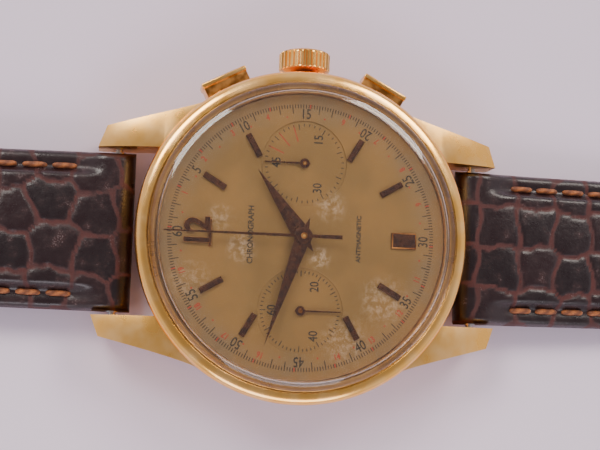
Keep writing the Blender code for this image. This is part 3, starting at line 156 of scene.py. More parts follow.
class WatchColours(bpy.types.PropertyGroup):
    gold: colour("Gold plate", "Polished gold plate of the case", "#FFC060")
    dial: colour("Dial", "Aged champagne lacquer of the dial", "#7A623A")
    dial_edge: colour("Dial edge", "Greyed lacquer of the outer track", "#7A6A54")
    dial_wear: colour("Dial wear", "Rubbed patches on the dial", "#BFAEA0")
    hand: colour("Hands", "Oxidised rose gilding of the hands and markers", "#52301F")
    print: colour("Black print", "Black figures and marks", "#14100C")
    red_print: colour("Red print", "Red decimal scale", "#98260A")
    scale: colour("Scales", "Raised crocodile scales", "#180A0D")
    crease: colour("Creases", "Hollows between the scales", "#4A1D18")
    lining: colour("Lining", "Calf lining and cut edges", "#4A2A1C")
    thread: colour("Thread", "Linen stitching thread", "#A9602B")
    steel: colour("Steel", "Stainless steel", "#B9BABD")
    brass: colour("Gilt brass", "Frosted gilt movement plates", "#D9B36C")
    floor: colour("Floor", "Matt table top", "#E2D3E4")


def sizes():
    return bpy.context.scene.watch_sizes


def colours():
    return bpy.context.scene.watch_colours


# ---------------------------------------------------------------- modelling by hand
def deselect():
    bpy.ops.object.select_all(action="DESELECT")


def work_on(obj, mode="EDIT"):
    """Selects only this object, and opens it in edit mode."""
    if bpy.context.mode != "OBJECT":
        bpy.ops.object.mode_set(mode="OBJECT")
    deselect()
    obj.select_set(True)
    bpy.context.view_layer.objects.active = obj
    bpy.ops.object.mode_set(mode=mode)


def pick(test, kind="verts"):
    """In edit mode, selects the points or faces whose middle, in millimetres, passes the test."""
    mesh = bpy.context.edit_object.data
    shape = bmesh.from_edit_mesh(mesh)
    bpy.ops.mesh.select_all(action="DESELECT")
    for element in getattr(shape, kind):
        middle = element.co if kind == "verts" else element.calc_center_median()
        if test(middle / MM):
            element.select_set(True)
    shape.select_flush(True)
    bmesh.update_edit_mesh(mesh)


def slide(x=0.0, y=0.0, z=0.0):
    bpy.ops.transform.translate(value=(x * MM, y * MM, z * MM))


def stretch(x, y, z, about=(0, 0, 0)):
    bpy.ops.transform.resize(value=(x, y, z), center_override=Vector(about) * MM)


def pull(x=0.0, y=0.0, z=0.0):
    """Extrudes what is selected."""
    bpy.ops.mesh.extrude_region_move(TRANSFORM_OT_translate={"value": (x * MM, y * MM, z * MM)})


def tidy_mesh(obj):
    """Merges doubled points, and turns every face outwards."""
    work_on(obj)
    bpy.ops.mesh.select_all(action="SELECT")
    bpy.ops.mesh.remove_doubles(threshold=WELD)
    bpy.ops.mesh.select_all(action="SELECT")
    bpy.ops.mesh.normals_make_consistent(inside=False)
    bpy.ops.object.mode_set(mode="OBJECT")


def settle(obj):
    """Puts the object at the origin, with its place and turn in its mesh."""
    work_on(obj, "OBJECT")
    bpy.ops.object.transform_apply(location=True, rotation=True, scale=True)


def apply_modifier(obj, kind, **settings):
    work_on(obj, "OBJECT")
    modifier = obj.modifiers.new(kind.title(), kind)
    for key, value in settings.items():
        setattr(modifier, key, value)
    bpy.ops.object.modifier_apply(modifier=modifier.name)


def soften(obj, width, segments=3, angle=30):
    """Rounds the sharp edges."""
    limit = {"limit_method": "ANGLE", "angle_limit": math.radians(angle)}
    apply_modifier(obj, "BEVEL", width=width * MM, segments=segments, harden_normals=False, **limit)


def combine(obj, other, operation, solver="EXACT"):
    """A Boolean with another object, which is then removed."""
    apply_modifier(obj, "BOOLEAN", object=other, operation=operation, solver=solver)
    bpy.data.objects.remove(other)


def twin(obj):
    """A copy with its own mesh."""
    other = obj.copy()
    other.data = obj.data.copy()
    bpy.context.scene.collection.objects.link(other)
    return other


def merge(first, *others):
    """Joins separate shapes into one object."""
    work_on(first, "OBJECT")
    for other in others:
        other.select_set(True)
    bpy.ops.object.join()
    return first


def turned(name, profile, segments=ROUND, ring=False):
    """Extrudes a circle ring by ring along a (radius, height) profile, then closes it."""
    deselect()
    radius, height = profile[0]
    bpy.ops.mesh.primitive_circle_add(
        vertices=segments, radius=radius * MM, location=(0, 0, height * MM)
    )
    obj = bpy.context.object
    obj.name = name
    settle(obj)
    work_on(obj)
    bpy.ops.mesh.select_all(action="SELECT")
    for (r0, z0), (r1, z1) in zip(profile, profile[1:]):
        pull(z=z1 - z0)
        stretch(r1 / r0, r1 / r0, 1)
    bpy.ops.mesh.select_all(action="DESELECT")
    bpy.ops.mesh.select_mode(type="EDGE")
    bpy.ops.mesh.select_non_manifold()
    if ring:
        bpy.ops.mesh.bridge_edge_loops()
    else:
        bpy.ops.mesh.select_all(action="SELECT")
        bpy.ops.mesh.fill_holes(sides=0)
    bpy.ops.mesh.select_mode(type="VERT")
    bpy.ops.object.mode_set(mode="OBJECT")
    tidy_mesh(obj)
    return obj


def flat(name, outlines, bottom, top, edge=0.0, segments=2):
    """A plate of these outlines in plan, from a filled curve. One inside another is a hole."""
    curve = bpy.data.curves.new(name, "CURVE")
    curve.dimensions = "2D"
    curve.fill_mode = "BOTH"
    curve.extrude = ((top - bottom) / 2 - edge) * MM
    curve.bevel_depth = edge * MM
    curve.bevel_resolution = segments
    curve.offset = -edge * MM
    for outline in outlines:
        spline = curve.splines.new("POLY")
        spline.points.add(len(outline) - 1)
        for point, (x, y) in zip(spline.points, outline):
            point.co = (x * MM, y * MM, 0, 1)
        spline.use_cyclic_u = True
    return as_mesh(name, curve, (0, 0, (bottom + top) / 2))


def as_mesh(name, data, place=(0, 0, 0), turn=0.0, width=1.0):
    """Makes a curve or text a mesh, then puts it in its place. turn is in degrees about Z."""
    obj = bpy.data.objects.new(name, data)
    obj.scale.x = width
    bpy.context.scene.collection.objects.link(obj)
    work_on(obj, "OBJECT")
    bpy.ops.object.convert(target="MESH")
    obj = bpy.context.object
    obj.location = Vector(place) * MM
    obj.rotation_euler.z = math.radians(turn)
    settle(obj)
    tidy_mesh(obj)
    return obj


def block(name, size, middle):
    deselect()
    bpy.ops.mesh.primitive_cube_add(size=MM, location=Vector(middle) * MM, scale=size)
    obj = bpy.context.object
    obj.name = name
    settle(obj)
    return obj


def figure(text, height, place, turn=0.0, width=0.85, rise=INK, edge=0.0, bold=0.02):
    """A printed figure in the built-in font, whose numerals are 0.72 of its size tall."""
    curve = bpy.data.curves.new("figure_" + text, "FONT")
    curve.body = text
    curve.size = height / 0.72 * MM
    curve.align_x = "CENTER"
    curve.align_y = "CENTER"
    curve.extrude = (rise - edge) * MM
    curve.bevel_depth = edge * MM
    curve.resolution_u = 3
    curve.offset = bold * MM
    return as_mesh("figure", curve, place, turn, width)


def copies(obj, turns, about=(0.0, 0.0)):
    """Copies of the object, turned clockwise about Z by these degrees, joined as one."""
    made = []
    for degrees in turns:
        other = twin(obj)
        centre = Matrix.Translation(Vector((*about, 0)) * MM)
        turn = Matrix.Rotation(-math.radians(degrees), 4, "Z")
        other.matrix_world = centre @ turn @ centre.inverted()
        settle(other)
        made.append(other)
    bpy.data.objects.remove(obj)
    return merge(*made)


def rotated(obj, degrees, axis, about=(0, 0, 0)):
    centre = Matrix.Translation(Vector(about) * MM)
    obj.matrix_world = centre @ Matrix.Rotation(math.radians(degrees), 4, axis) @ centre.inverted()
    settle(obj)
    return obj


def curve_points(start, bend, end, count):
    """Points along a quadratic curve."""
    start, bend, end = Vector(start), Vector(bend), Vector(end)
    steps = [i / count for i in range(count + 1)]
    return [tuple(start * (1 - t) ** 2 + bend * (2 * t * (1 - t)) + end * t**2) for t in steps]


def between(x, points):
    """The height of a line through (x, height) points."""
    for (x0, z0), (x1, z1) in zip(points, points[1:]):
        if x <= x1:
            return z0 + (z1 - z0) * max(0.0, x - x0) / (x1 - x0 or 1)
    return points[-1][1]


def smooth(x, low, high):
    """0 below low, 1 above high, and an even S between them."""
    t = min(max((x - low) / (high - low), 0.0), 1.0)
    return t * t * (3 - 2 * t)


def clock(degrees, radius, centre_x=0.0):
    """The place in the print, this many degrees clockwise from 12 o'clock."""
    angle = math.radians(degrees)
    return (centre_x + math.sin(angle) * radius, math.cos(angle) * radius, PRINT_Z)


def piece(obj, name, material, body, stands_for=(), angle=30):
    """Names a finished piece, gives it its finish and lets it ride on its body."""
    obj.name = name
    obj.data.name = name
    settle(obj)
    bpy.ops.object.shade_smooth_by_angle(angle=math.radians(angle))
    obj.data.materials.clear()
    obj.data.materials.append(material)
    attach(obj, body)
    if stands_for:
        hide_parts(*stands_for)
    return obj


# ---------------------------------------------------------------- finishes
def add(material, kind, inputs=None, **settings):
    """Adds a shader node. inputs gives each socket a value, or another node's socket to link to it."""
    tree = material.node_tree
    node = tree.nodes.new("ShaderNode" + kind)
    for key, value in settings.items():
        setattr(node, key, value)
    for key, value in (inputs or {}).items():
        if isinstance(value, bpy.types.NodeSocket):
            tree.links.new(value, node.inputs[key])
        else:
            node.inputs[key].default_value = value
    return node


def finish_of(name, **surface):
    """A material with one Principled shader, whose fixed values are set on its own sockets."""
    material = bpy.data.materials.new(name)
    material.use_nodes = True
    shader = material.node_tree.nodes["Principled BSDF"]
    for key, value in surface.items():
        shader.inputs[key.replace("_", " ")].default_value = value
    return material


def shade(material, socket, source):
    material.node_tree.links.new(source, material.node_tree.nodes["Principled BSDF"].inputs[socket])


def grain(material, per_mm, detail=3.0, stretch_by=(1, 1, 1), roughness=0.55):
    """Noise with this many features in a millimetre, read at the object's own place."""
    place = add(material, "TexCoord")
    scaled = add(material, "Mapping", {"Vector": place.outputs["Object"], "Scale": stretch_by})
    return add(
        material,
        "TexNoise",
        {"Vector": scaled.outputs[0], "Scale": per_mm / MM, "Detail": detail, "Roughness": roughness},
    )


def level(material, value, low, high, to_low, to_high):
    """Maps a value from one range to another, smoothly."""
    made = add(
        material,
        "MapRange",
        {"Value": value, "From Min": low, "From Max": high, "To Min": to_low, "To Max": to_high},
        interpolation_type="SMOOTHSTEP",
    )
    return made.outputs[0]


def blend_colour(material, share, first, second):
    made = add(material, "Mix", data_type="RGBA")
    for socket, value in ((0, share), (6, first), (7, second)):
        if isinstance(value, bpy.types.NodeSocket):
            material.node_tree.links.new(value, made.inputs[socket])
        else:
            made.inputs[socket].default_value = (*value, 1) if socket else value
    return made.outputs[2]


def dents(material, height, depth, strength):
    """Bumps this many millimetres deep."""
    made = add(material, "Bump", {"Height": height, "Distance": depth * MM, "Strength": strength})
    shade(material, "Normal", made.outputs[0])


def mottle(material, noise, low, high, first, second, most=1.0):
    """Colours the surface from the first colour to the second as the noise rises from low to high."""
    share = level(material, noise.outputs[0], low, high, 0, most)
    shade(material, "Base Color", blend_colour(material, share, tuple(first), second))


def polish(material, noise, low, high, smoothest, roughest):
    """Sets how rough the surface is as the noise rises from low to high."""
    shade(material, "Roughness", level(material, noise.outputs[0], low, high, smoothest, roughest))


def plan_distance(material, x=0.0, y=0.0):
    """How far each place is, in plan, from the point (x, y) in millimetres."""
    place = add(material, "TexCoord").outputs["Object"]
    plan = add(material, "VectorMath", {0: place, 1: (1, 1, 0)}, operation="MULTIPLY")
    point = (x * MM, y * MM, 0)
    away = add(material, "VectorMath", {0: plan.outputs[0], 1: point}, operation="SUBTRACT")
    return add(material, "VectorMath", {0: away.outputs[0]}, operation="LENGTH").outputs["Value"]


def polished_gold_plate():
    """Gold plate over brass, buffed. Wear dulls it in patches, and hairlines catch the light."""
    material = finish_of("polished_gold_plate", Metallic=1.0)
    wear = grain(material, 0.35)
    hairs = grain(material, 2.2, detail=5, stretch_by=(1, 9, 1))
    mottle(material, wear, 0.35, 0.7, colours().gold, linear("#FFCB80"))
    polish(material, wear, 0.3, 0.75, 0.14, 0.24)
    dents(material, hairs.outputs[0], 0.002, 0.3)
    return material


def satin_gold_plate():
    """Gold plate on the lugs and middle, brushed to a satin and rubbed smooth by wear."""
    material = finish_of("satin_gold_plate", Metallic=1.0)
    wear = grain(material, 0.3)
    lines = grain(material, 3.0, detail=4, stretch_by=(6, 0.5, 1))
    mottle(material, wear, 0.35, 0.7, colours().gold, linear("#FFCC82"))
    polish(material, wear, 0.3, 0.75, 0.26, 0.34)
    dents(material, lines.outputs[0], 0.003, 0.3)
    return material


def worn_brass_edge():
    """Brass bared where fingers rub the plating off. It is darker and browner than the plate."""
    material = finish_of("worn_brass_edge", Metallic=1.0)
    wear = grain(material, 0.8)
    mottle(material, wear, 0.35, 0.65, linear("#8A5A2C"), linear("#C08A4C"))
    polish(material, wear, 0.3, 0.7, 0.28, 0.45)
    return material


def oxidised_rose_gilding():
    """Rose gilding gone brown with age, nearly black except where it catches the light."""
    material = finish_of("oxidised_rose_gilding", Metallic=0.75, Coat_Weight=0.15, Coat_Roughness=0.2)
    age = grain(material, 1.6, detail=4)
    mottle(material, age, 0.35, 0.68, colours().hand, linear("#2B1513"))
    polish(material, age, 0.3, 0.7, 0.26, 0.5)
    dents(material, age.outputs[0], 0.01, 0.5)
    return material


def aged_champagne_lacquer():
    """Dial lacquer, yellowed with age. It has greyed outside, and is rubbed and spotted."""
    material = finish_of("aged_champagne_lacquer", Metallic=0.35, Specular_IOR_Level=0.4)
    radius = plan_distance(material)
    cloud = grain(material, 0.16, detail=6, roughness=0.65)
    fine = grain(material, 5.0, detail=2)
    specks = grain(material, 1.5, detail=5, roughness=0.8)
    edge = level(material, radius, 11.5 * MM, 14.5 * MM, 0, 0.9)
    base = blend_colour(material, edge, tuple(colours().dial), tuple(colours().dial_edge))
    darker = level(material, cloud.outputs[0], 0.4, 0.62, 0.0, 0.55)
    base = blend_colour(material, darker, base, linear("#8A6A3C"))
    for x, y, size, amount in (
        (-1.5, 6.6, 2.2, 0.5),
        (1.8, 9.0, 2.0, 0.35),
        (-6.5, -9.0, 3.4, 0.45),
        (-11.0, -5.0, 3.4, 0.4),
        (3.5, -3.0, 2.4, 0.45),
        (-2.2, -2.0, 1.6, 0.6),
        (-5.0, 12.0, 3.0, 0.3),
    ):
        away = plan_distance(material, x, y)
        near = level(material, away, 0.2 * size * MM, size * MM, amount, 0)
        rubbed = level(material, specks.outputs[0], 0.45, 0.6, 0, 1)
        share = add(material, "Math", {0: near, 1: rubbed}, operation="MULTIPLY").outputs[0]
        base = blend_colour(material, share, base, tuple(colours().dial_wear))
    spots = level(material, specks.outputs[0], 0.69, 0.74, 0, 0.7)
    base = blend_colour(material, spots, base, linear("#4E3A28"))
    shade(material, "Base Color", base)
    polish(material, cloud, 0.3, 0.7, 0.38, 0.55)
    heights = fine.outputs[0]
    for side in (1, -1):
        away = plan_distance(material, side * REGISTER_X)
        inside = level(material, away, 4.5 * MM, 4.6 * MM, 1, 0)
        # turned grooves 0.2 mm apart, coarser than the real 0.05 mm so that they show
        pitch = 0.2 * MM
        turns = add(material, "Math", {0: away, 1: math.tau / pitch}, operation="MULTIPLY")
        wave = add(material, "Math", {0: turns.outputs[0]}, operation="SINE")
        groove = add(material, "Math", {0: wave.outputs[0], 1: inside}, operation="MULTIPLY")
        layers = {0: groove.outputs[0], 1: 0.5, 2: heights}
        heights = add(material, "Math", layers, operation="MULTIPLY_ADD").outputs[0]
    dents(material, heights, 0.006, 0.5)
    return material


def aged_acrylic():
    """Domed acrylic crystal with fine white scratches, and painted shade towards its rim. Lamps shine
    through it without a hard shadow.
    """
    material = finish_of("aged_acrylic", Roughness=0.04, IOR=1.49, Transmission_Weight=1.0)
    shader = material.node_tree.nodes["Principled BSDF"]
    radius = plan_distance(material)
    # painted shade: near the rim the crystal is painted grey, standing in for the darker look of its
    # thick wall seen through
    greyed = level(material, radius, 15.5 * MM, 16.1 * MM, 0, 1)
    tone = blend_colour(material, greyed, linear("#F6F1E6"), linear("#A39A92"))
    shade(material, "Base Color", tone)
    rub = grain(material, 0.5, detail=6, stretch_by=(1, 0.25, 1))
    scratches = grain(material, 1.4, detail=8, stretch_by=(0.2, 3, 1), roughness=0.75)
    height = add(material, "Math", {0: rub.outputs[0], 1: scratches.outputs[0]}, operation="ADD")
    dents(material, height.outputs[0], 0.004, 0.35)
    clear = add(material, "BsdfTransparent", {"Color": (*linear("#F7F3EA"), 1)})
    ray = add(material, "LightPath")
    sockets = {0: ray.outputs["Is Shadow Ray"], 1: shader.outputs[0], 2: clear.outputs[0]}
    mixed = add(material, "MixShader", sockets)
    output = material.node_tree.nodes["Material Output"]
    material.node_tree.links.new(mixed.outputs[0], output.inputs[0])
    return material


def printing_ink(name, shade_of):
    """Pad-printed enamel ink, thin and slightly broken with age."""
    material = finish_of(name, Roughness=0.55)
    worn = grain(material, 3.0, detail=4)
    mottle(material, worn, 0.52, 0.8, shade_of, tuple(colours().dial), most=0.4)
    return material


def crocodile_leather():
    """Glazed crocodile skin, with glossy plum scales, redder creases and ridges scuffed pale."""
    material = finish_of(
        "glazed_crocodile_leather", Specular_IOR_Level=0.5, Coat_Weight=0.12, Coat_Roughness=0.2
    )
    skin = add(material, "Attribute", attribute_name="skin")
    parts = add(material, "SeparateColor", {0: skin.outputs["Color"]})
    raised, cell, lining = parts.outputs[0], parts.outputs[1], parts.outputs[2]
    pores = grain(material, 6.0, detail=3)
    clouds = grain(material, 0.7, detail=5)
    on_scale = level(material, raised, 0.35, 1.0, 0, 1)
    tone = blend_colour(material, on_scale, tuple(colours().crease), tuple(colours().scale))
    tone = blend_colour(material, level(material, cell, 0.1, 1, 0, 0.45), tone, linear("#2A1214"))
    faded = level(material, clouds.outputs[0], 0.5, 0.75, 0, 0.4)
    tone = blend_colour(material, faded, tone, linear("#3C1B18"))
    scuffed = add(
        material,
        "Math",
        {
            0: level(material, clouds.outputs[0], 0.58, 0.72, 0, 1),
            1: level(material, pores.outputs[0], 0.5, 0.68, 0, 0.35),
        },
        operation="MULTIPLY",
    ).outputs[0]
    tone = blend_colour(material, scuffed, tone, linear("#A08D8C"))
    tone = blend_colour(material, lining, tone, tuple(colours().lining))
    shade(material, "Base Color", tone)
    gloss = level(material, clouds.outputs[0], 0.3, 0.7, 0.26, 0.4)
    dull = level(material, raised, 0.3, 1.0, 0.35, 0.0)
    shade(material, "Roughness", add(material, "Math", {0: gloss, 1: dull}, operation="ADD").outputs[0])
    wrinkles = grain(material, 2.4, detail=5)
    layers = {0: pores.outputs[0], 1: 0.4, 2: wrinkles.outputs[0]}
    height = add(material, "Math", layers, operation="MULTIPLY_ADD")
    dents(material, height.outputs[0], 0.07, 0.5)
    return material


def waxed_linen_thread():
    """Waxed two-ply thread. The ply shows as slanting ridges 0.35 mm apart, with painted shade in the
    grooves between them.
    """
    material = finish_of("waxed_linen_thread", Sheen_Weight=0.2, Sheen_Roughness=0.5)
    place = add(material, "TexCoord").outputs["Object"]
    ply = add(
        material,
        "TexWave",
        {"Vector": place, "Scale": 0.45 / MM, "Distortion": 1.5, "Detail": 1.0},
        wave_type="BANDS",
        bands_direction="DIAGONAL",
    )
    fuzz = grain(material, 4.0)
    # painted shade: the thread is painted darker in the grooves between the plies, where the bump is
    # low
    tone = blend_colour(material, ply.outputs["Fac"], linear("#6E3A18"), tuple(colours().thread))
    soiled = level(material, fuzz.outputs[0], 0.4, 0.7, 0, 0.4)
    tone = blend_colour(material, soiled, tone, linear("#4A2412"))
    shade(material, "Base Color", tone)
    polish(material, fuzz, 0.3, 0.7, 0.5, 0.75)
    dents(material, ply.outputs["Fac"], 0.06, 0.7)
    return material


def stainless_steel(name, roughness, line_stretch):
    """Stainless steel, ground in one direction so that fine lines run along it."""
    material = finish_of(name, Metallic=1.0)
    lines = grain(material, 2.5, detail=4, stretch_by=line_stretch)
    mottle(material, lines, 0.3, 0.7, colours().steel, linear("#8F9093"), most=0.5)
    polish(material, lines, 0.3, 0.7, roughness, roughness + 0.15)
    dents(material, lines.outputs[0], 0.004, 0.4)
    return material


def frosted_gilt_brass():
    """Brass plates and wheels, frosted and gilt. Fine grit breaks up the reflections."""
    material = finish_of("frosted_gilt_brass", Metallic=1.0)
    grit = grain(material, 8.0, detail=2)
    clouds = grain(material, 0.5)
    mottle(material, clouds, 0.35, 0.7, colours().brass, linear("#B98D48"), most=0.6)
    polish(material, grit, 0.3, 0.7, 0.28, 0.45)
    dents(material, grit.outputs[0], 0.006, 0.5)
    return material


def striped_nickel_plate():
    """Nickel-plated bridges with broad ground stripes 1.2 mm apart."""
    material = finish_of("striped_nickel_plate", Metallic=1.0)
    place = add(material, "TexCoord").outputs["Object"]
    scaled = {"Vector": place, "Scale": 0.26 / MM, "Distortion": 0.0}
    stripes = add(material, "TexWave", scaled, wave_profile="SAW")
    lines = grain(material, 3.0, detail=4, stretch_by=(8, 1, 1))
    tone = blend_colour(material, stripes.outputs["Fac"], linear("#B9B4A8"), linear("#8C877C"))
    shade(material, "Base Color", tone)
    shade(material, "Roughness", level(material, stripes.outputs["Fac"], 0, 1, 0.2, 0.38))
    dents(material, lines.outputs[0], 0.004, 0.4)
    return material


def moulded_rubber():
    """Black nitrile sealing rings, moulded, with a dull bloom."""
    material = finish_of("moulded_black_rubber", Specular_IOR_Level=0.3)
    bloom = grain(material, 2.0)
    mottle(material, bloom, 0.4, 0.7, linear("#17161A"), linear("#2C2B30"), most=0.5)
    polish(material, bloom, 0.3, 0.7, 0.6, 0.8)
    return material


def matt_table():
    """Matt paper laid on the table, with a faint tooth and painted light across it."""
    material = finish_of("matt_table", Specular_IOR_Level=0.2)
    tooth = grain(material, 0.5)
    place = add(material, "TexCoord").outputs["Object"]
    down = add(material, "SeparateXYZ", {0: place}).outputs["X"]
    # painted light: the paper is painted lighter on the -X side of the watch than on the +X side
    tone = blend_colour(
        material, level(material, down, -0.03, 0.03, 1, 0), tuple(colours().floor), linear("#EBDCEC")
    )
    shade(material, "Base Color", tone)
    polish(material, tooth, 0.3, 0.7, 0.75, 0.9)
    return material


MAKERS = {
    "polished_gold": polished_gold_plate,
    "satin_gold": satin_gold_plate,
    "worn_edge": worn_brass_edge,
    "rose": oxidised_rose_gilding,
    "dial": aged_champagne_lacquer,
    "acrylic": aged_acrylic,
    "black_ink": lambda: printing_ink("black_printing_ink", colours().print),
    "red_ink": lambda: printing_ink("red_printing_ink", colours().red_print),
    "leather": crocodile_leather,
    "thread": waxed_linen_thread,
    "steel": lambda: stainless_steel("ground_stainless_steel", 0.22, (1, 8, 1)),
    "back_steel": lambda: stainless_steel("brushed_steel_back", 0.3, (10, 1, 1)),
    "brass": frosted_gilt_brass,
    "nickel": striped_nickel_plate,
    "rubber": moulded_rubber,
    "table": matt_table,
}
made_finishes = {}


def finish(name):
    """The finish of this name, made once."""
    if name not in made_finishes:
        made_finishes[name] = MAKERS[name]()
    return made_finishes[name]


# ---------------------------------------------------------------- case
class CaseMaker(bpy.types.Operator):
    """Make the case middle with its four lugs, the bezel and the snap back"""

    bl_idname = "watch.make_case"
    bl_label = "Case, Bezel and Back"

    def execute(self, context):
        middle = self.middle()
        piece(middle, "case_and_lugs", finish("satin_gold"), "case", ["case_middle"])
        self.bezel()
        self.back()
        return {"FINISHED"}

    def middle(self):
        seat = 0.75  # height of the ring that the bezel is pressed on
        top = CASE_HIGH.z - seat
        wall = CASE_HIGH.x
        bore = span("dial")[1].x + 0.1
        rebate = [(bore, 2.9), (bore + 0.65, 2.9), (bore + 0.65, 2.0)]
        belly = [(wall - 0.95, 2.0), (wall - 0.55, 2.2), (wall - 0.1, 3.05), (wall, 3.4)]
        rim = [(wall, top - 0.3), (wall - 0.05, top - 0.1), (wall - 0.2, top)]
        rise = [(bore + 1.2, top), (bore + 1.2, top + seat), (bore, top + seat)]
        body = turned("case_and_lugs", [*rebate, *belly, *rim, *rise], ring=True)
        lug = self.lug(top)
        for mirror_x in (1, -1):
            for mirror_y in (1, -1):
                one = twin(lug)
                one.scale = (mirror_x, mirror_y, 1)
                settle(one)
                tidy_mesh(one)
                combine(body, one, "UNION")
        bpy.data.objects.remove(lug)
        for side in (1, -1):
            pocket = block("pocket", (4.0, 5.5, 3.1), (18.4, 0, STEM_Z))
            rotated(pocket, side * PUSHER_ANGLE, "Z")
            combine(body, pocket, "DIFFERENCE")
        return body

    def lug(self, top):
        """The 1 o'clock lug: its plan and its side view cut from one another, then rounded."""
        inner, tip_y = 9.1, CASE_HIGH.y
        meets = math.radians(35.5)  # where the outer edge runs into the case, up from 3 o'clock
        root = (math.cos(meets) * CASE_HIGH.x, math.sin(meets) * CASE_HIGH.x)
        edge = curve_points((inner + 2.3, tip_y - 0.9), (root[0] - 0.75, root[1] + 1.05), root, 14)
        plan = [(inner, 13.6), (13.6, 9.6), *edge[::-1], (inner, tip_y)]
        lug = flat("lug", [plan], 0.5, top + 0.5)
        fall = curve_points((7.0, top - 0.1), (17.8, top - 0.25), (tip_y + 0.2, 4.9), 16)
        side = [(7.0, 2.4), *fall, (tip_y + 0.2, 2.0), (tip_y - 0.5, 1.4), (16.4, 2.2)]
        profile = flat("lug_side", [side], -20, 20)
        profile.data.transform(ON_SIDE)
        combine(lug, profile, "INTERSECT")
        soften(lug, sizes().lug_edge / MM, 3)
        return lug

    def bezel(self):
        r, z = BEZEL_R, BEZEL_TOP
        # each point is (in from the rim, down from the top)
        lip = [(1.15, 0.4), (1.38, 0.4), (1.38, 0.14), (1.32, 0.05), (1.22, 0)]
        roll = [(0.9, 0.05), (0.6, 0.13), (0.36, 0.24), (0.17, 0.42), (0.04, 0.68), (0, 0.95)]
        foot = [(0, 1.25), (0.07, 1.4), (1.15, 1.4)]
        profile = [(r - inward, z - down) for inward, down in [*lip, *roll, *foot]]
        ring = turned("bezel_ring", profile, ring=True)
        piece(ring, "bezel_ring", finish("polished_gold"), "case", ["bezel"])

    def back(self):
        edge = span("case_back")[1].x
        hollow = [(0.4, 0.8), (12.5, 0.8), (15.6, 1.3)]
        snap = [(15.6, 2.55), (16.25, 2.55), (16.25, 1.95), (edge, 1.95), (edge, 1.3)]
        slope = [(edge - 0.1, 1.15), (edge - 1.4, 0.5), (edge - 4.2, 0.04), (edge - 4.6, 0.0)]
        groove = [(9.3, 0.0), (9.2, 0.06), (9.0, 0.06), (8.9, 0.0), (0.4, 0.0)]
        plate = turned("snap_back", [*hollow, *snap, *slope, *groove])
        piece(plate, "snap_back", finish("back_steel"), "case", ["case_back"])


class CrystalMaker(bpy.types.Operator):
    """Make the domed acrylic crystal"""

    bl_idname = "watch.make_crystal"
    bl_label = "Crystal"

    def execute(self, context):
        z, r = CRYSTAL_TOP, span("crystal")[1].x
        wall = sizes().crystal_wall / MM
        # each point is (radius, down from the top)
        dome = [(0.05, 0), (2.5, 0.02), (5, 0.12), (7.5, 0.29), (10, 0.53), (12.5, 0.84)]
        dome.append((14.6, 1.16))
        shoulder = [(15.2, 1.27), (15.55, 1.38), (15.95, 1.55), (16.25, 1.75), (16.48, 2.0)]
        shoulder.append((16.6, 2.3))
        inside = [(15.7, 2.5), (15.6, 2.2), (15.4, 2.05), (14.9, 2.0)]
        profile = [(x, z - drop) for x, drop in [*dome, *shoulder]]
        profile += [(16.62, z - 2.9), (r, z - 2.9), (r, z - 3.35), (15.7, z - 3.35)]
        profile += [(x, z - drop) for x, drop in inside]
        profile += [(x, z - drop - wall) for x, drop in reversed(dome[:-1])]
        shell = turned("crystal_dome", profile)
        piece(shell, "crystal_dome", finish("acrylic"), "case", ["crystal"], angle=60)
        return {"FINISHED"}


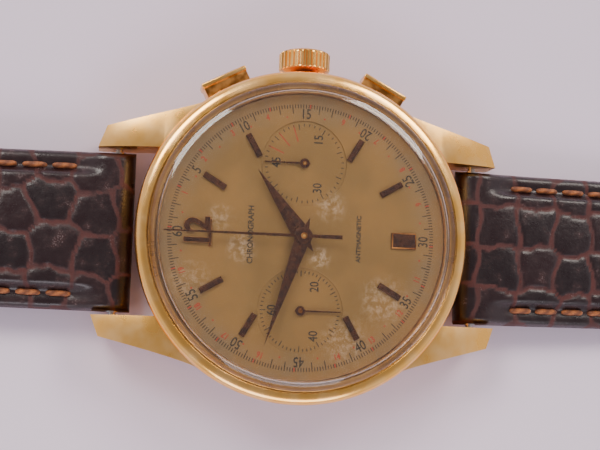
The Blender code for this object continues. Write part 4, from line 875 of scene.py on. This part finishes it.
class ControlsMaker(bpy.types.Operator):
    """Make the fluted crown and the two rectangular pushers"""

    bl_idname = "watch.make_controls"
    bl_label = "Crown and Pushers"

    def execute(self, context):
        self.crown()
        for side, name in ((1, "start"), (-1, "reset")):
            self.pusher(side, name)
        return {"FINISHED"}

    def crown(self):
        low, high = span("crown")
        reach, r = high.x - low.x, (high.z - low.z) / 2
        inner = [(0.05, 0.9), (1.15, 0.9), (1.15, 0.0), (1.7, 0.0)]
        cone = [(r - 0.35, 0.42), (r - 0.1, 0.5), (r, 0.62), (r, 0.72)]
        rim = reach - 0.85
        band = [(r, rim), (r, rim + 0.12), (r - 0.12, rim + 0.28), (r - 0.35, rim + 0.4)]
        cap = [(r - 0.75, rim + 0.52), (1.4, reach - 0.13), (0.7, reach - 0.03), (0.05, reach)]
        flutes = 30
        knob = turned("fluted_crown", [*inner, *cone, *band, *cap], segments=6 * flutes)
        work_on(knob)
        depth = sizes().flute_depth / MM

        def in_flute(p):
            outer = p.xy.length > r - 0.45 and 0.55 < p.z < rim + 0.2
            return outer and math.cos(flutes * math.atan2(p.y, p.x)) < -0.4

        pick(in_flute)
        stretch(1 - depth / r, 1 - depth / r, 1)
        bpy.ops.object.mode_set(mode="OBJECT")
        rotated(knob, 90, "Y")
        knob.location = Vector((low.x, 0, STEM_Z)) * MM
        piece(knob, "fluted_crown", finish("polished_gold"), "crown", ["crown"], angle=40)

    def pusher(self, side, name):
        inner, outer = 17.5, 19.9
        neck, step, dome = 1.75, 0.12, 0.08
        cap = block("cap", (neck, 5.1, 2.7), (inner + neck / 2, 0, STEM_Z))
        work_on(cap)
        pick(lambda p: p.x > inner + neck - 0.01, "faces")
        pull(x=step)
        stretch(1, 5.3 / 5.1, 2.9 / 2.7, (0, 0, STEM_Z))
        pull(x=outer - inner - neck - step - dome)
        bpy.ops.mesh.inset(thickness=0.25 * MM, depth=0)
        slide(x=dome)
        bpy.ops.object.mode_set(mode="OBJECT")
        soften(cap, 0.11, 3, 20)
        deselect()
        bpy.ops.mesh.primitive_cylinder_add(
            vertices=32, radius=0.4 * MM, depth=3.2 * MM, location=Vector((16.35, 0, 4.5)) * MM
        )
        stem = bpy.context.object
        stem.rotation_euler.y = math.pi / 2
        settle(stem)
        soften(stem, 0.05, 2)
        merge(cap, stem)
        rotated(cap, side * PUSHER_ANGLE, "Z")
        piece(cap, name + "_push_piece", finish("polished_gold"), name + "_pusher", [name + "_pusher"])
        cap.data.materials.append(finish("worn_edge"))
        # fingers rub the plating off the top and bottom, but not near the end
        level_face = 0.7 * math.cos(math.radians(PUSHER_ANGLE))
        for face in cap.data.polygons:
            reach = (face.center / MM).xy.length
            if reach < outer - 0.5 and abs(face.normal.z) > level_face:
                face.material_index = 1


# ---------------------------------------------------------------- dial
class DialMaker(bpy.types.Operator):
    """Print the dial: seconds track, decimal scale, registers and figures"""

    bl_idname = "watch.print_dial"
    bl_label = "Dial Printing"

    def execute(self, context):
        self.seconds_track()
        self.decimal_scale()
        self.registers()
        self.words()
        return {"FINISHED"}

    def tick(self, inner, outer, width, centre=(0, 0)):
        """One printed mark pointing to 12, standing just proud of the dial."""
        middle_y = centre[1] + (inner + outer) / 2
        return block("tick", (width, outer - inner, 2 * INK), (centre[0], middle_y, PRINT_Z))

    def seconds_track(self):
        width = sizes().tick_width / MM
        short = self.tick(14.0, 14.42, width)
        work_on(short)
        bpy.ops.mesh.select_all(action="SELECT")
        bpy.ops.mesh.spin(
            steps=299, dupli=True, angle=math.tau * 299 / 300, center=(0, 0, 0), axis=(0, 0, 1)
        )
        bpy.ops.object.mode_set(mode="OBJECT")
        plain = [s * 6 for s in range(60) if s % 5 and s % 3]
        long = copies(self.tick(13.45, 14.42, width * 1.1), plain)
        piece(merge(short, long), "seconds_track", finish("black_ink"), "case")
        figures = []
        for second in range(5, 61, 5):
            inward = second in (20, 25, 30, 35, 40)
            turn = -second * 6 + (180 if inward else 0)
            tall = sizes().figure_height / MM
            figures.append(figure(str(second), tall, clock(second * 6, 13.35), turn, 0.8))
        piece(merge(*figures), "seconds_figures", finish("black_ink"), "case")

    def decimal_scale(self):
        width = sizes().tick_width / MM
        hundredths = [i * 3.6 + 1.8 for i in range(0, 100, 5)]
        marks = [copies(self.tick(14.0, 14.42, width * 1.5), hundredths)]
        for step in range(1, 21):
            # every fifth figure would stand on a black one
            if step % 5:
                turn = -step * 18 + (180 if 6 <= step <= 14 else 0)
                tall = sizes().red_figure_height / MM
                marks.append(figure(str(step), tall, clock(step * 18, 13.4), turn, 0.8))
            deselect()
            bpy.ops.mesh.primitive_cylinder_add(vertices=16, radius=0.1 * MM, depth=2 * INK * MM)
            dot = bpy.context.object
            dot.location = Vector(clock(step * 18 - 9, 13.1)) * MM
            settle(dot)
            marks.append(dot)
        piece(merge(*marks), "decimal_scale", finish("red_ink"), "case")

    def registers(self):
        width = sizes().tick_width / MM
        sunk = -0.1 * MM
        for x, step, long_every, labels, name in (
            (REGISTER_X, 8, 5, ("15", "30", "45"), "minutes"),
            (-REGISTER_X, 6, 5, ("20", "40", "60"), "running_seconds"),
        ):
            count = 360 // step
            short = self.tick(4.05, 4.35, width, (x, 0))
            long = self.tick(3.72, 4.35, width, (x, 0))
            marks = [
                copies(short, [i * step for i in range(count) if i % long_every], (x, 0)),
                copies(long, [i * step for i in range(0, count, long_every)], (x, 0)),
            ]
            for number, label in enumerate(labels, 1):
                marks.append(figure(label, 0.98, clock(120 * number, 3.05, x)))
            register = merge(*marks)
            register.location.z = sunk
            piece(register, name + "_register", finish("black_ink"), "case")
            deselect()
            bpy.ops.mesh.primitive_torus_add(
                major_radius=4.66 * MM,
                minor_radius=0.035 * MM,
                major_segments=96,
                minor_segments=8,
                location=(x * MM, 0, DIAL_TOP * MM),
            )
            piece(bpy.context.object, name + "_rim", finish("dial"), "case")
        calls = self.tick(2.5, 4.3, width * 1.2, (REGISTER_X, 0))
        calls = copies(calls, [3 * 8, 6 * 8, 9 * 8], (REGISTER_X, 0))
        calls.location.z = sunk
        piece(calls, "telephone_marks", finish("red_ink"), "case")

    def words(self):
        upper = figure("CHRONOGRAPH", 0.62, (0, 5.6, PRINT_Z), width=0.95)
        lower = figure("ANTIMAGNETIC", 0.5, (0, -6.2, PRINT_Z), width=1.0)
        piece(merge(upper, lower), "dial_words", finish("black_ink"), "case")


class MarkerMaker(bpy.types.Operator):
    """Make the applied hour markers and the applied 12"""

    bl_idname = "watch.make_markers"
    bl_label = "Hour Markers"

    def execute(self, context):
        low, high = span("hour_marker_6")
        rise, reach = high.z - DIAL_TOP + 0.03, high.y - low.y
        middle_y = -(low.y + high.y) / 2
        baton = self.bar(0.66, reach, rise, middle_y)
        hours = [1, 2, 4, 5, 7, 8, 10, 11]
        batons = copies(baton, [hour * 30 for hour in hours])
        nodes = [f"hour_marker_{hour}" for hour in hours]
        self.dress(batons, "hour_batons", nodes, gilt=False)
        six = copies(self.bar(high.x - low.x, reach, rise, middle_y), [180])
        self.dress(six, "six_marker", ["hour_marker_6"])
        self.twelve(rise)
        return {"FINISHED"}

    def bar(self, width, reach, rise, middle_y):
        bar = block("bar", (width, reach, rise), (0, middle_y, DIAL_TOP + rise / 2))
        work_on(bar)
        top = DIAL_TOP + rise - 0.01
        pick(lambda p: p.z > top, "faces")
        inset = sizes().marker_bevel / MM
        bpy.ops.mesh.inset(thickness=inset * MM, depth=0)
        pick(lambda p: p.z > top and abs(p.x) > width / 2 - 0.01)
        slide(z=-inset * 0.9)
        pick(lambda p: p.z > top and abs(abs(p.y - middle_y) - reach / 2) < 0.01)
        slide(z=-inset * 0.9)
        bpy.ops.object.mode_set(mode="OBJECT")
        soften(bar, 0.03, 2, 20)
        return bar

    def dress(self, obj, name, nodes, gilt=True):
        """The flat tops are oxidised brown, and the bevels keep some of their gold."""
        piece(obj, name, finish("rose"), "case", nodes, angle=15)
        if gilt:
            obj.data.materials.append(finish("worn_edge"))
            for face in obj.data.polygons:
                if 0.2 < face.normal.z < 0.93:
                    face.material_index = 1

    def twelve(self, rise):
        low, high = span("numeral_twelve")
        tall = high.y - low.y
        place = (0, (low.y + high.y) / 2 + 0.06, DIAL_TOP + rise / 2)
        made = figure("12", tall * 0.98, place, 0, 0.92, rise / 2, edge=0.05, bold=0.08)
        size = (high.x - low.x, 0.32, rise * 0.9)
        foot = block("foot", size, (0, low.y + 0.16, DIAL_TOP + rise * 0.45))
        soften(foot, 0.06, 2, 20)
        self.dress(merge(made, foot), "applied_twelve", ["numeral_twelve"])


# ---------------------------------------------------------------- hands
class HandMaker(bpy.types.Operator):
    """Make the five hands, each with its hub"""

    bl_idname = "watch.make_hands"
    bl_label = "Hands"

    def execute(self, context):
        hour_low = span("hour_hand")[0].z
        minute_low = span("minute_hand")[0].z
        self.ridged("hour_hand", 8.8, 2.0, 0.95, hour_low, 54)
        self.ridged("minute_hand", 12.5, 2.15, 0.8, minute_low, 288)
        sweep_low = span("chronograph_hand")[0].z + 0.01
        self.thin("chronograph_hand", 14.9, 4.2, (0.17, 0.08, 0.22), sweep_low, 0.87, 0.34, (0, 0), 0)
        small_low = span("minute_counter_hand")[0].z + 0.01
        thin = (0.11, 0.06, 0.12)
        self.thin("minute_counter_hand", 4.4, 0.6, thin, small_low, 0.52, 0.24, (REGISTER_X, 0), 0)
        self.thin("running_seconds_hand", 4.4, 0.6, thin, small_low, 0.52, 0.24, (-REGISTER_X, 0), 180)
        return {"FINISHED"}

    def ridged(self, name, tip, tail, half_width, low, degrees):
        """A dauphine hand: a four-sided cone drawn out to a kite, whose edges are its ridge."""
        ridge = sizes().hand_ridge / MM
        shoulder, plate = 0.95, 0.09
        base = low + plate
        middle_z = (base + ridge / 2) * MM
        deselect()
        bpy.ops.mesh.primitive_cone_add(
            vertices=4, radius1=MM, radius2=0, depth=ridge * MM, location=(0, 0, middle_z)
        )
        hand = bpy.context.object
        settle(hand)
        work_on(hand)
        for towards, place in (
            (Vector((0, 1)), (0, tip)),
            (Vector((0, -1)), (0, -tail)),
            (Vector((1, 0)), (half_width, shoulder)),
            (Vector((-1, 0)), (-half_width, shoulder)),
        ):
            pick(lambda p, t=towards: p.z < base + 0.02 and 0.7 < p.xy.dot(t) <= 1.01)
            slide(place[0] - towards.x, place[1] - towards.y)
        pick(lambda p: p.z > base + ridge - 0.01)
        slide(y=shoulder)
        pick(lambda p: p.z < base + 0.01, "faces")
        pull(z=-plate)
        bpy.ops.object.mode_set(mode="OBJECT")
        tidy_mesh(hand)
        soften(hand, 0.03, 2, 12)
        deselect()
        bpy.ops.mesh.primitive_cylinder_add(
            vertices=48, radius=0.98 * MM, depth=0.2 * MM, location=(0, 0, (low + 0.1) * MM)
        )
        boss = bpy.context.object
        soften(boss, 0.04, 2)
        settle(boss)
        merge(hand, boss)
        rotated(hand, -degrees, "Z")
        piece(hand, name + "_ridged", finish("rose"), name, [name], angle=12)

    def thin(self, name, tip, tail, widths, low, hub_r, cap_r, at, degrees):
        root, point, back = widths
        side = [(back, -tail), (root, 0), (point, tip)]
        outline = [*[(-x, y) for x, y in reversed(side)], *side]
        blade = flat(name, [outline], low, low + 0.13, edge=0.03)
        hub = turned(
            "hub",
            [
                (0.05, low),
                (hub_r - 0.03, low),
                (hub_r, low + 0.03),
                (hub_r, low + 0.1),
                (hub_r - 0.06, low + 0.15),
                (0.05, low + 0.16),
            ],
            segments=64,
        )
        merge(blade, hub)
        turn = Matrix.Rotation(-math.radians(degrees), 4, "Z")
        turn = Matrix.Translation(Vector((*at, 0)) * MM) @ turn
        blade.matrix_world = turn
        # a register hand's body has its name without the last word
        body = name if at == (0, 0) else name.removesuffix("_hand")
        piece(blade, name + "_blade", finish("rose"), body, [name], angle=25)
        top = low + (0.42 if hub_r > 0.6 else 0.22)
        cap = turned(
            "cap",
            [
                (0.03, low + 0.1),
                (cap_r, low + 0.1),
                (cap_r, top - 0.04),
                (cap_r - 0.04, top),
                (cap_r * 0.55, top),
                (cap_r * 0.45, top - 0.06),
                (0.03, top - 0.05),
            ],
            segments=48,
        )
        cap.matrix_world = turn
        piece(cap, name + "_cap", finish("worn_edge"), body, angle=25)


# ---------------------------------------------------------------- strap
class StrapMaker(bpy.types.Operator):
    """Make both leather halves of the strap, with their scales, stitches, holes and keepers"""

    bl_idname = "watch.make_strap"
    bl_label = "Strap and Keepers"

    def execute(self, context):
        rest = span("strap_buckle_side")[0].z
        self.half("buckle_side", 1, PIN_Y - BAR_Y, rest, 1.1)
        self.half("tip_side", -1, -span("strap_tip_side")[0].y - BAR_Y, 0.0, 0.0)
        self.keeper("fixed_keeper", "strap_buckle_side")
        self.keeper("sliding_keeper", "sliding_keeper")
        return {"FINISHED"}

    def half(self, name, side, reach, rest, end_radius):
        strap = StrapHalf(side, reach, rest, end_radius)
        skin = strap.wrap(name + "_leather")
        for place, size, shape in strap.openings():
            if shape == "hole":
                deselect()
                bpy.ops.mesh.primitive_cylinder_add(
                    vertices=32, radius=size * MM, depth=8 * MM, location=Vector(place) * MM
                )
                cutter = bpy.context.object
                settle(cutter)
            else:
                cutter = block("slot", size, place)
            before = len(skin.data.vertices)
            combine(skin, cutter, "DIFFERENCE", solver="MANIFOLD")
            if len(skin.data.vertices) == before:
                raise RuntimeError("the strap has an opening that was not cut")
        strap.dye(skin)
        piece(skin, name + "_leather", finish("leather"), "strap_" + name, ["strap_" + name], angle=50)
        stitches = strap.stitches(name + "_stitches")
        piece(stitches, name + "_stitches", finish("thread"), "strap_" + name, angle=60)

    def keeper(self, node, body):
        """A flat leather loop whose corners are rounded and whose edges are bevelled."""
        low, high = span(node)
        wall = 0.9

        def outline(inset, radius):
            half, bottom, top = high.x - inset, low.z + inset, high.z - inset
            points = []
            for x, z, start in (
                (half - radius, top - radius, 0),
                (-half + radius, top - radius, 90),
                (-half + radius, bottom + radius, 180),
                (half - radius, bottom + radius, 270),
            ):
                for step in range(7):
                    angle = math.radians(start + step * 15)
                    points.append((x + radius * math.cos(angle), z + radius * math.sin(angle)))
            return points

        half = (high.y - low.y) / 2
        band = flat(node, [outline(0, 1.2), outline(wall, 0.5)], -half, half, 0.16)
        rotated(band, 90, "X")
        band.location.y = (low.y + high.y) / 2 * MM
        settle(band)
        apply_modifier(band, "SUBSURF", subdivision_type="SIMPLE", levels=1, render_levels=1)
        colour_skin(band, lambda point: (0.85 + 0.15 * math.sin(point.x * 3), 0.35, 0.0))
        piece(band, node + "_leather", finish("leather"), body, [node], angle=40)


class StrapHalf:
    """The shape of one strap half. `along` is the distance from its spring bar."""

    def __init__(self, side, reach, rest, end_radius):
        self.side, self.reach, self.rest, self.end_radius = side, reach, rest, end_radius
        self.loop_r = 1.9
        self.seeds()

    def seeds(self):
        """One seed for each scale, in uneven rows across the strap."""
        dice = random.Random(11 if self.side > 0 else 23)
        pitch = sizes().scale_pitch / MM
        places = []
        y = -2.0
        while y < self.reach + 4:
            tall = pitch * dice.uniform(0.8, 1.15)
            shift = dice.uniform(-0.5, 0.5)
            for x in (-11.0, -6.9, -2.4, 2.4, 6.9, 11.0):
                across = x + shift + dice.uniform(-0.35, 0.35)
                places.append((across, y + dice.uniform(-0.6, 0.6)))
            y += tall
        self.tones = [dice.random() for _ in places]
        self.tree = KDTree(len(places))
        for i, (x, y) in enumerate(places):
            self.tree.insert((x, y, 0), i)
        self.tree.balance()

    def relief(self, x, along):
        """(0 in a crease to 1 on a scale, dome of the scale, tone of the scale)"""
        wave_x = 0.2 * math.sin(along * 1.3 + x) + 0.07 * math.sin(along * 4.1 - 2 * x)
        wave_y = 0.2 * math.sin(x * 1.3 + along * 0.6)
        (_, first, d1), (_, _, d2) = self.tree.find_n((x + wave_x, along + wave_y, 0), 2)
        raised = smooth(d2 - d1, 0.0, 0.6)
        return raised, max(0.0, 1 - (d1 / 3.2) ** 2), self.tones[first]

    def half_width(self, along):
        taper = min(max(along / self.reach, 0.0), 1.0)
        width = 8.75 - 0.75 * taper
        if self.end_radius:
            return width
        left = self.reach - along
        if left >= 9:
            return width
        tip = [(x, y) for y, x in curve_points((7.9, 9.0), (7.4, 1.5), (0.0, 0.1), 24)]
        return min(width, between(max(left, 0.1), tip[::-1]))

    def top(self, along):
        if along < 0:
            return BAR_Z + math.sqrt(max(self.loop_r**2 - along**2, 0.0))
        start = BAR_Z + self.loop_r
        curve = curve_points((3.0, start), (14.0, self.rest + 4.5), (34.0, self.rest + 2.8), 20)
        height = between(along, [(0, start), *curve, (self.reach, self.rest + 2.2)])
        if self.end_radius and along > self.reach:
            return self.rest + self.end_radius + self.fold(along)
        return height

    def bottom(self, along):
        if along < 0:
            return BAR_Z - math.sqrt(max(self.loop_r**2 - along**2, 0.0))
        if self.end_radius and along > self.reach:
            return self.rest + self.end_radius - self.fold(along)
        under = [(0, BAR_Z - self.loop_r), (4, self.rest + 0.25), (9, self.rest)]
        return between(along, [*under, (self.reach, self.rest)])

    def fold(self, along):
        """Half the height of the fold round the buckle pin."""
        return math.sqrt(max(self.end_radius**2 - (along - self.reach) ** 2, 0.0))

    def stations(self):
        marks = [-self.loop_r * math.cos(math.radians(a)) for a in range(0, 90, 11)]
        count = round(self.reach / 0.29)
        marks += [self.reach * i / count for i in range(count)]
        if self.end_radius:
            turns = [math.radians(a) for a in range(0, 91, 15)]
            marks += [self.reach + self.end_radius * math.sin(a) for a in turns]
        else:
            marks += [self.reach - 0.2, self.reach - 0.14]
        return sorted(set(round(m, 4) for m in marks))

    def surface(self, x, along, upper):
        """Height of the finished surface at a place on it."""
        half = max(self.half_width(along), 0.001)
        top, bottom = self.top(along), self.bottom(along)
        middle = (top + bottom) / 2
        inward = half - abs(x)
        thick = top - bottom
        edge = max(min(0.75, thick / 2), 0.001)
        share = math.sqrt(max(0.0, 1 - (1 - min(inward / edge, 1.0)) ** 2))
        if not upper:
            return middle - (middle - bottom) * share
        inset = sizes().stitch_inset / MM
        fade = smooth(along, 1.0, 5.0)
        outside = 1 - smooth(inward, inset + 0.25, inset + 1.15)
        drop = fade * outside * min(0.3 * thick, 0.95)
        crown = fade * 0.22 * (1 - (abs(x) / half) ** 2)
        raised, dome, _ = self.relief(x, along)
        depth = sizes().crease_depth / MM
        cut = fade * smooth(self.reach + 1 - along, 0.0, 2.0)
        groove = cut * (depth * (1 - raised) * (1 - 0.5 * outside) - 0.12 * dome * (1 - outside))
        seam = 0.16 * fade * math.exp(-(((inward - inset) / 0.42) ** 2))
        height = top - drop + crown - 0.2 * fade - groove - seam
        return middle + (height - middle) * share

    def wrap(self, name):
        """A grid whose columns go once round the strap and whose rows follow its length."""
        stations = self.stations()
        across = 56
        ring = across * 2
        deselect()
        rows = len(stations) - 1
        bpy.ops.mesh.primitive_grid_add(x_subdivisions=ring, y_subdivisions=rows, size=2 * MM)
        obj = bpy.context.object
        columns = ring + 1
        for i, vertex in enumerate(obj.data.vertices):
            row, column = divmod(i, columns)
            along = stations[row]
            upper = column <= across
            share = column / across if upper else (ring - column) / across
            # spread the points so that more of them round the edges
            spread = 2 * share - 1
            spread = 0.82 * spread + 0.18 * math.sin(spread * math.pi / 2)
            x = spread * self.half_width(along)
            z = self.surface(x, along, upper)
            vertex.co = Vector((x, self.side * (BAR_Y + along), z)) * MM
        obj.name = name
        work_on(obj)
        bpy.ops.mesh.select_all(action="SELECT")
        bpy.ops.mesh.remove_doubles(threshold=0.004 * MM)
        bpy.ops.mesh.fill_holes(sides=0)
        bpy.ops.object.mode_set(mode="OBJECT")
        tidy_mesh(obj)
        return obj

    def dye(self, skin):
        def tones(point):
            along = abs(point.y) - BAR_Y
            top, bottom = self.top(along), self.bottom(along)
            thick = max(top - bottom, 0.01)
            above = smooth(point.z, bottom + 0.04 * thick, bottom + 0.16 * thick)
            raised, dome, tone = self.relief(point.x, along)
            return (raised * (0.9 + 0.1 * dome), tone, 1 - above)

        colour_skin(skin, tones)

    def openings(self):
        if self.end_radius:
            return [((0, PIN_Y + 0.6, PIN_Z), (2.4, 8.0, 6.0), "slot")]
        tip = -(BAR_Y + self.reach)
        return [((0, tip + 24 + 6.5 * i, 2.0), 0.9, "hole") for i in range(7)]

    def seam_path(self):
        """Points of the stitch line along one edge, as (x, along)."""
        inset = sizes().stitch_inset / MM
        last = self.reach - (5.4 if self.end_radius else 0.0)
        points = []
        along = 4.2
        while along < last:
            half = self.half_width(along)
            slope = (self.half_width(along + 0.05) - half) / 0.05
            # step in square to the edge, so that the seam keeps its distance round the tip
            norm = math.hypot(1, slope)
            x, y = half - inset / norm, along + inset * slope / norm
            if x <= 0.3:
                break
            points.append((x, y))
            along += 0.1 if self.end_radius or along < self.reach - 9 else 0.05
        return points

    def stitches(self, name):
        path = self.seam_path()
        pitch = sizes().stitch_pitch / MM
        stitch = self.one_stitch()
        made = []
        travelled, target = 0.0, pitch / 2
        for (x0, y0), (x1, y1) in zip(path, path[1:]):
            travelled += math.hypot(x1 - x0, y1 - y0)
            if travelled < target:
                continue
            target += pitch
            heading = math.atan2(x1 - x0, y1 - y0)
            for mirror in (1, -1):
                one = twin(stitch)
                ahead = self.surface(x1, y1 + 0.6, True) - self.surface(x1, y1 - 0.6, True)
                pitch_up = math.atan2(ahead, 1.2)
                turn = Matrix.Rotation(-heading * mirror * self.side, 4, "Z")
                tilt = Matrix.Rotation(pitch_up * self.side, 4, "X")
                height = self.surface(x1, y1, True) + 0.1
                place = Vector((x1 * mirror, self.side * (BAR_Y + y1), height)) * MM
                one.matrix_world = Matrix.Translation(place) @ turn @ tilt
                made.append(one)
        bpy.data.objects.remove(stitch)
        work_on(made[0], "OBJECT")
        for one in made:
            one.select_set(True)
        bpy.ops.object.transform_apply(location=True, rotation=True, scale=True)
        joined = merge(*made)
        joined.name = name
        return joined

    def one_stitch(self):
        """A stitch of thick thread, whose two ends dive into the leather."""
        deselect()
        bpy.ops.mesh.primitive_cylinder_add(vertices=10, radius=0.33 * MM, depth=1.5 * MM)
        stitch = bpy.context.object
        rotated(stitch, 90, "X")
        work_on(stitch)
        for side in (1, -1):
            for reach, share, dive in ((0.35, 0.85, 0.06), (0.22, 0.6, 0.14)):
                edge = max(v.co.y * side for v in bmesh.from_edit_mesh(stitch.data).verts)
                pick(lambda p, e=edge, s=side: p.y * s > e / MM - 0.001, "faces")
                pull(y=side * reach, z=-dive)
                middle = Vector((0, (edge / MM + reach) * side, -dive))
                stretch(share, 1, share, middle)
        bpy.ops.object.mode_set(mode="OBJECT")
        tidy_mesh(stitch)
        return stitch


def colour_skin(obj, tones):
    """Writes the three skin values of every point, read by the leather finish."""
    layer = obj.data.color_attributes.new(name="skin", type="FLOAT_COLOR", domain="POINT")
    for vertex, value in zip(obj.data.vertices, layer.data):
        value.color = (*tones(vertex.co / MM), 1.0)


class BuckleMaker(bpy.types.Operator):
    """Make the gold-plated buckle frame and its tongue"""

    bl_idname = "watch.make_buckle"
    bl_label = "Buckle"

    def execute(self, context):
        droop = math.radians(-6.2)
        inner, far = 8.45, 8.6
        outer = inner + 1.7
        corner = [(inner - 1, far), (inner, far - 1), (inner, -0.9)]
        window = [*[(-x, y) for x, y in reversed(corner)], *corner]
        outside = [
            (inner + 0.3, -1.2),
            (outer - 0.3, -1.2),
            (outer, -0.9),
            *curve_points((outer, far - 0.5), (outer - 0.2, far + 2.2), (outer - 4, far + 2.3), 12),
            *curve_points((-outer + 4, far + 2.3), (-outer + 0.2, far + 2.2), (-outer, far - 0.5), 12),
            (-outer, -0.9),
            (-outer + 0.3, -1.2),
            (-inner - 0.3, -1.2),
        ]
        buckle = flat("buckle", [window + outside], -0.85, 0.85, 0.3, 3)
        self.hang(buckle, droop)
        gold = finish("polished_gold")
        piece(buckle, "thumbnail_buckle", gold, "buckle_frame", ["buckle_frame"], angle=35)
        lift = 0.95
        side = [
            *curve_points((-1.08, 0.4), (-1.2, 1.15), (0.0, 1.15), 6),
            (1.2, lift + 0.45),
            (3.5, lift + 0.75),
            (far + 1.5, lift + 0.75),
            (far + 2.1, lift + 0.6),
            (far + 2.3, lift + 0.3),
            (far + 2.2, lift + 0.02),
            (far - 0.6, lift + 0.02),
            (far - 1.4, -0.1),
            (3.0, -0.1),
            *curve_points((1.0, -0.75), (0.4, -1.15), (-0.3, -1.1), 5),
            (-0.95, -0.6),
        ]
        tongue = flat("tongue", [side], -0.75, 0.75, 0.14, 3)
        tongue.data.transform(ON_SIDE)
        self.hang(tongue, droop)
        piece(tongue, "buckle_prong", gold, "buckle_tongue", ["buckle_tongue"], angle=35)
        return {"FINISHED"}

    def hang(self, obj, droop):
        pin = Matrix.Translation(Vector((0, PIN_Y, PIN_Z)) * MM)
        obj.matrix_world = pin @ Matrix.Rotation(droop, 4, "X")
        settle(obj)


class InsideMaker(bpy.types.Operator):
    """Give the movement, the pins and the seals their finishes"""

    bl_idname = "watch.finish_inside"
    bl_label = "Movement and Small Parts"

    def execute(self, context):
        finishes = {
            "gold_plate": "satin_gold",
            "steel": "steel",
            "gilt_brass": "brass",
            "nickel_plate": "nickel",
            "champagne_dial": "dial",
            "darkened_rose_gilt": "rose",
            "acrylic": "acrylic",
            "black_rubber": "rubber",
            "brown_leather": "leather",
        }
        for part in frame["record"]["subparts"]:
            node = frame["nodes"][part["node"]]
            for holder in node.material_slots:
                holder.material = finish(finishes[part["material_slot"]])
        return {"FINISHED"}


# ---------------------------------------------------------------- stage
class StageMaker(bpy.types.Operator):
    """Set out the table top, the soft lights and the camera"""

    bl_idname = "watch.make_stage"
    bl_label = "Table, Lights and Camera"

    def execute(self, context):
        deselect()
        bpy.ops.mesh.primitive_grid_add(x_subdivisions=40, y_subdivisions=40, size=3.0)
        table = bpy.context.object
        table.name = "table_top"
        table.location.z = cad_box[0][2] - 0.0002
        settle(table)
        table.data.materials.append(finish("table"))
        world = bpy.context.scene.world or bpy.data.worlds.new("studio")
        bpy.context.scene.world = world
        world.use_nodes = True
        self.sky(world)
        self.lamp("left_window", (0.34, 0.26, 0.42), (0.26, 0.2), 2.0, "#FFF8F0")
        self.lamp("right_window", (0.36, -0.30, 0.40), (0.24, 0.2), 1.7, "#FFF6EC")
        self.lamp("low_front", (-0.5, 0.0, 0.35), (0.5, 0.25), 1.6, "#FDF6FF")
        self.camera()
        return {"FINISHED"}

    def sky(self, world):
        """Pale walls all round, and a dimmer ceiling that leaves the crystal and the leather clear."""
        background = world.node_tree.nodes["Background"]
        background.inputs[0].default_value = (*linear("#EDE6EC"), 1)
        direction = add(world, "TexCoord").outputs["Generated"]
        height = add(world, "SeparateXYZ", {0: direction}).outputs["Z"]
        strength = level(world, height, 0.55, 0.93, 1.0, 0.42)
        world.node_tree.links.new(strength, background.inputs[1])

    def lamp(self, name, place, size, power, tint):
        deselect()
        bpy.ops.object.light_add(type="AREA", location=place)
        lamp = bpy.context.object
        lamp.name = name
        lamp.data.shape = "RECTANGLE"
        lamp.data.size, lamp.data.size_y = size
        lamp.data.energy = power
        lamp.data.color = linear(tint)
        aim = Vector((0, 0, 0.007)) - Vector(place)
        lamp.rotation_euler = aim.to_track_quat("-Z", "Y").to_euler()

    def camera(self):
        """Looks down from 130 mm above the dial, turned so that 12 o'clock lies to the left."""
        roll, tip, lean = math.radians(-2.68), math.radians(-5.79), math.radians(8.43)
        turn = Matrix.Rotation(lean, 3, "Y") @ Matrix.Rotation(tip, 3, "X")
        turn = turn @ Matrix.Rotation(roll, 3, "Z")
        inverse = turn.transposed()

        def world(v):
            return Vector((v.y, -v.x, v.z))

        stand_off, dial_height = 130.0, 7.0
        place = world(inverse @ Vector((-0.17, 1.33, stand_off)))
        place.z += dial_height
        right, up, back = (world(Vector(turn[i])) for i in range(3))
        deselect()
        bpy.ops.object.camera_add()
        camera = bpy.context.object
        camera.name = "main_camera"
        camera.data.sensor_width = 36
        camera.data.lens = 71.73
        camera.data.clip_start = 0.005
        camera.data.clip_end = 10
        basis = Matrix((right, up, back)).transposed().to_4x4()
        camera.matrix_world = Matrix.Translation(place * MM) @ basis
        bpy.context.scene.camera = camera


class WatchPanel(bpy.types.Panel):
    """Lists the pieces of the watch and their sizes"""

    bl_idname = "VIEW3D_PT_watch"
    bl_label = "Chronograph Wristwatch"
    bl_space_type = "VIEW_3D"
    bl_region_type = "UI"
    bl_category = "Watch"

    def draw(self, context):
        for group in (sizes(), colours()):
            box = self.layout.box()
            for key in group.__annotations__:
                box.prop(group, key)
        for maker in MAKER_OPERATORS:
            self.layout.operator(maker.bl_idname)


MAKER_OPERATORS = (
    CaseMaker,
    CrystalMaker,
    ControlsMaker,
    DialMaker,
    MarkerMaker,
    HandMaker,
    StrapMaker,
    BuckleMaker,
    InsideMaker,
    StageMaker,
)
CLASSES = (WatchSizes, WatchColours, *MAKER_OPERATORS, WatchPanel)


def register():
    for cls in CLASSES:
        bpy.utils.register_class(cls)
    bpy.types.Scene.watch_sizes = bpy.props.PointerProperty(type=WatchSizes)
    bpy.types.Scene.watch_colours = bpy.props.PointerProperty(type=WatchColours)


def unregister():
    del bpy.types.Scene.watch_colours
    del bpy.types.Scene.watch_sizes
    for cls in reversed(CLASSES):
        bpy.utils.unregister_class(cls)


def main():
    register()
    bpy.ops.watch.make_case()
    bpy.ops.watch.make_crystal()
    bpy.ops.watch.make_controls()
    bpy.ops.watch.print_dial()
    bpy.ops.watch.make_markers()
    bpy.ops.watch.make_hands()
    bpy.ops.watch.make_strap()
    bpy.ops.watch.make_buckle()
    bpy.ops.watch.finish_inside()
    bpy.ops.watch.make_stage()


if __name__ == "__main__":
    main()
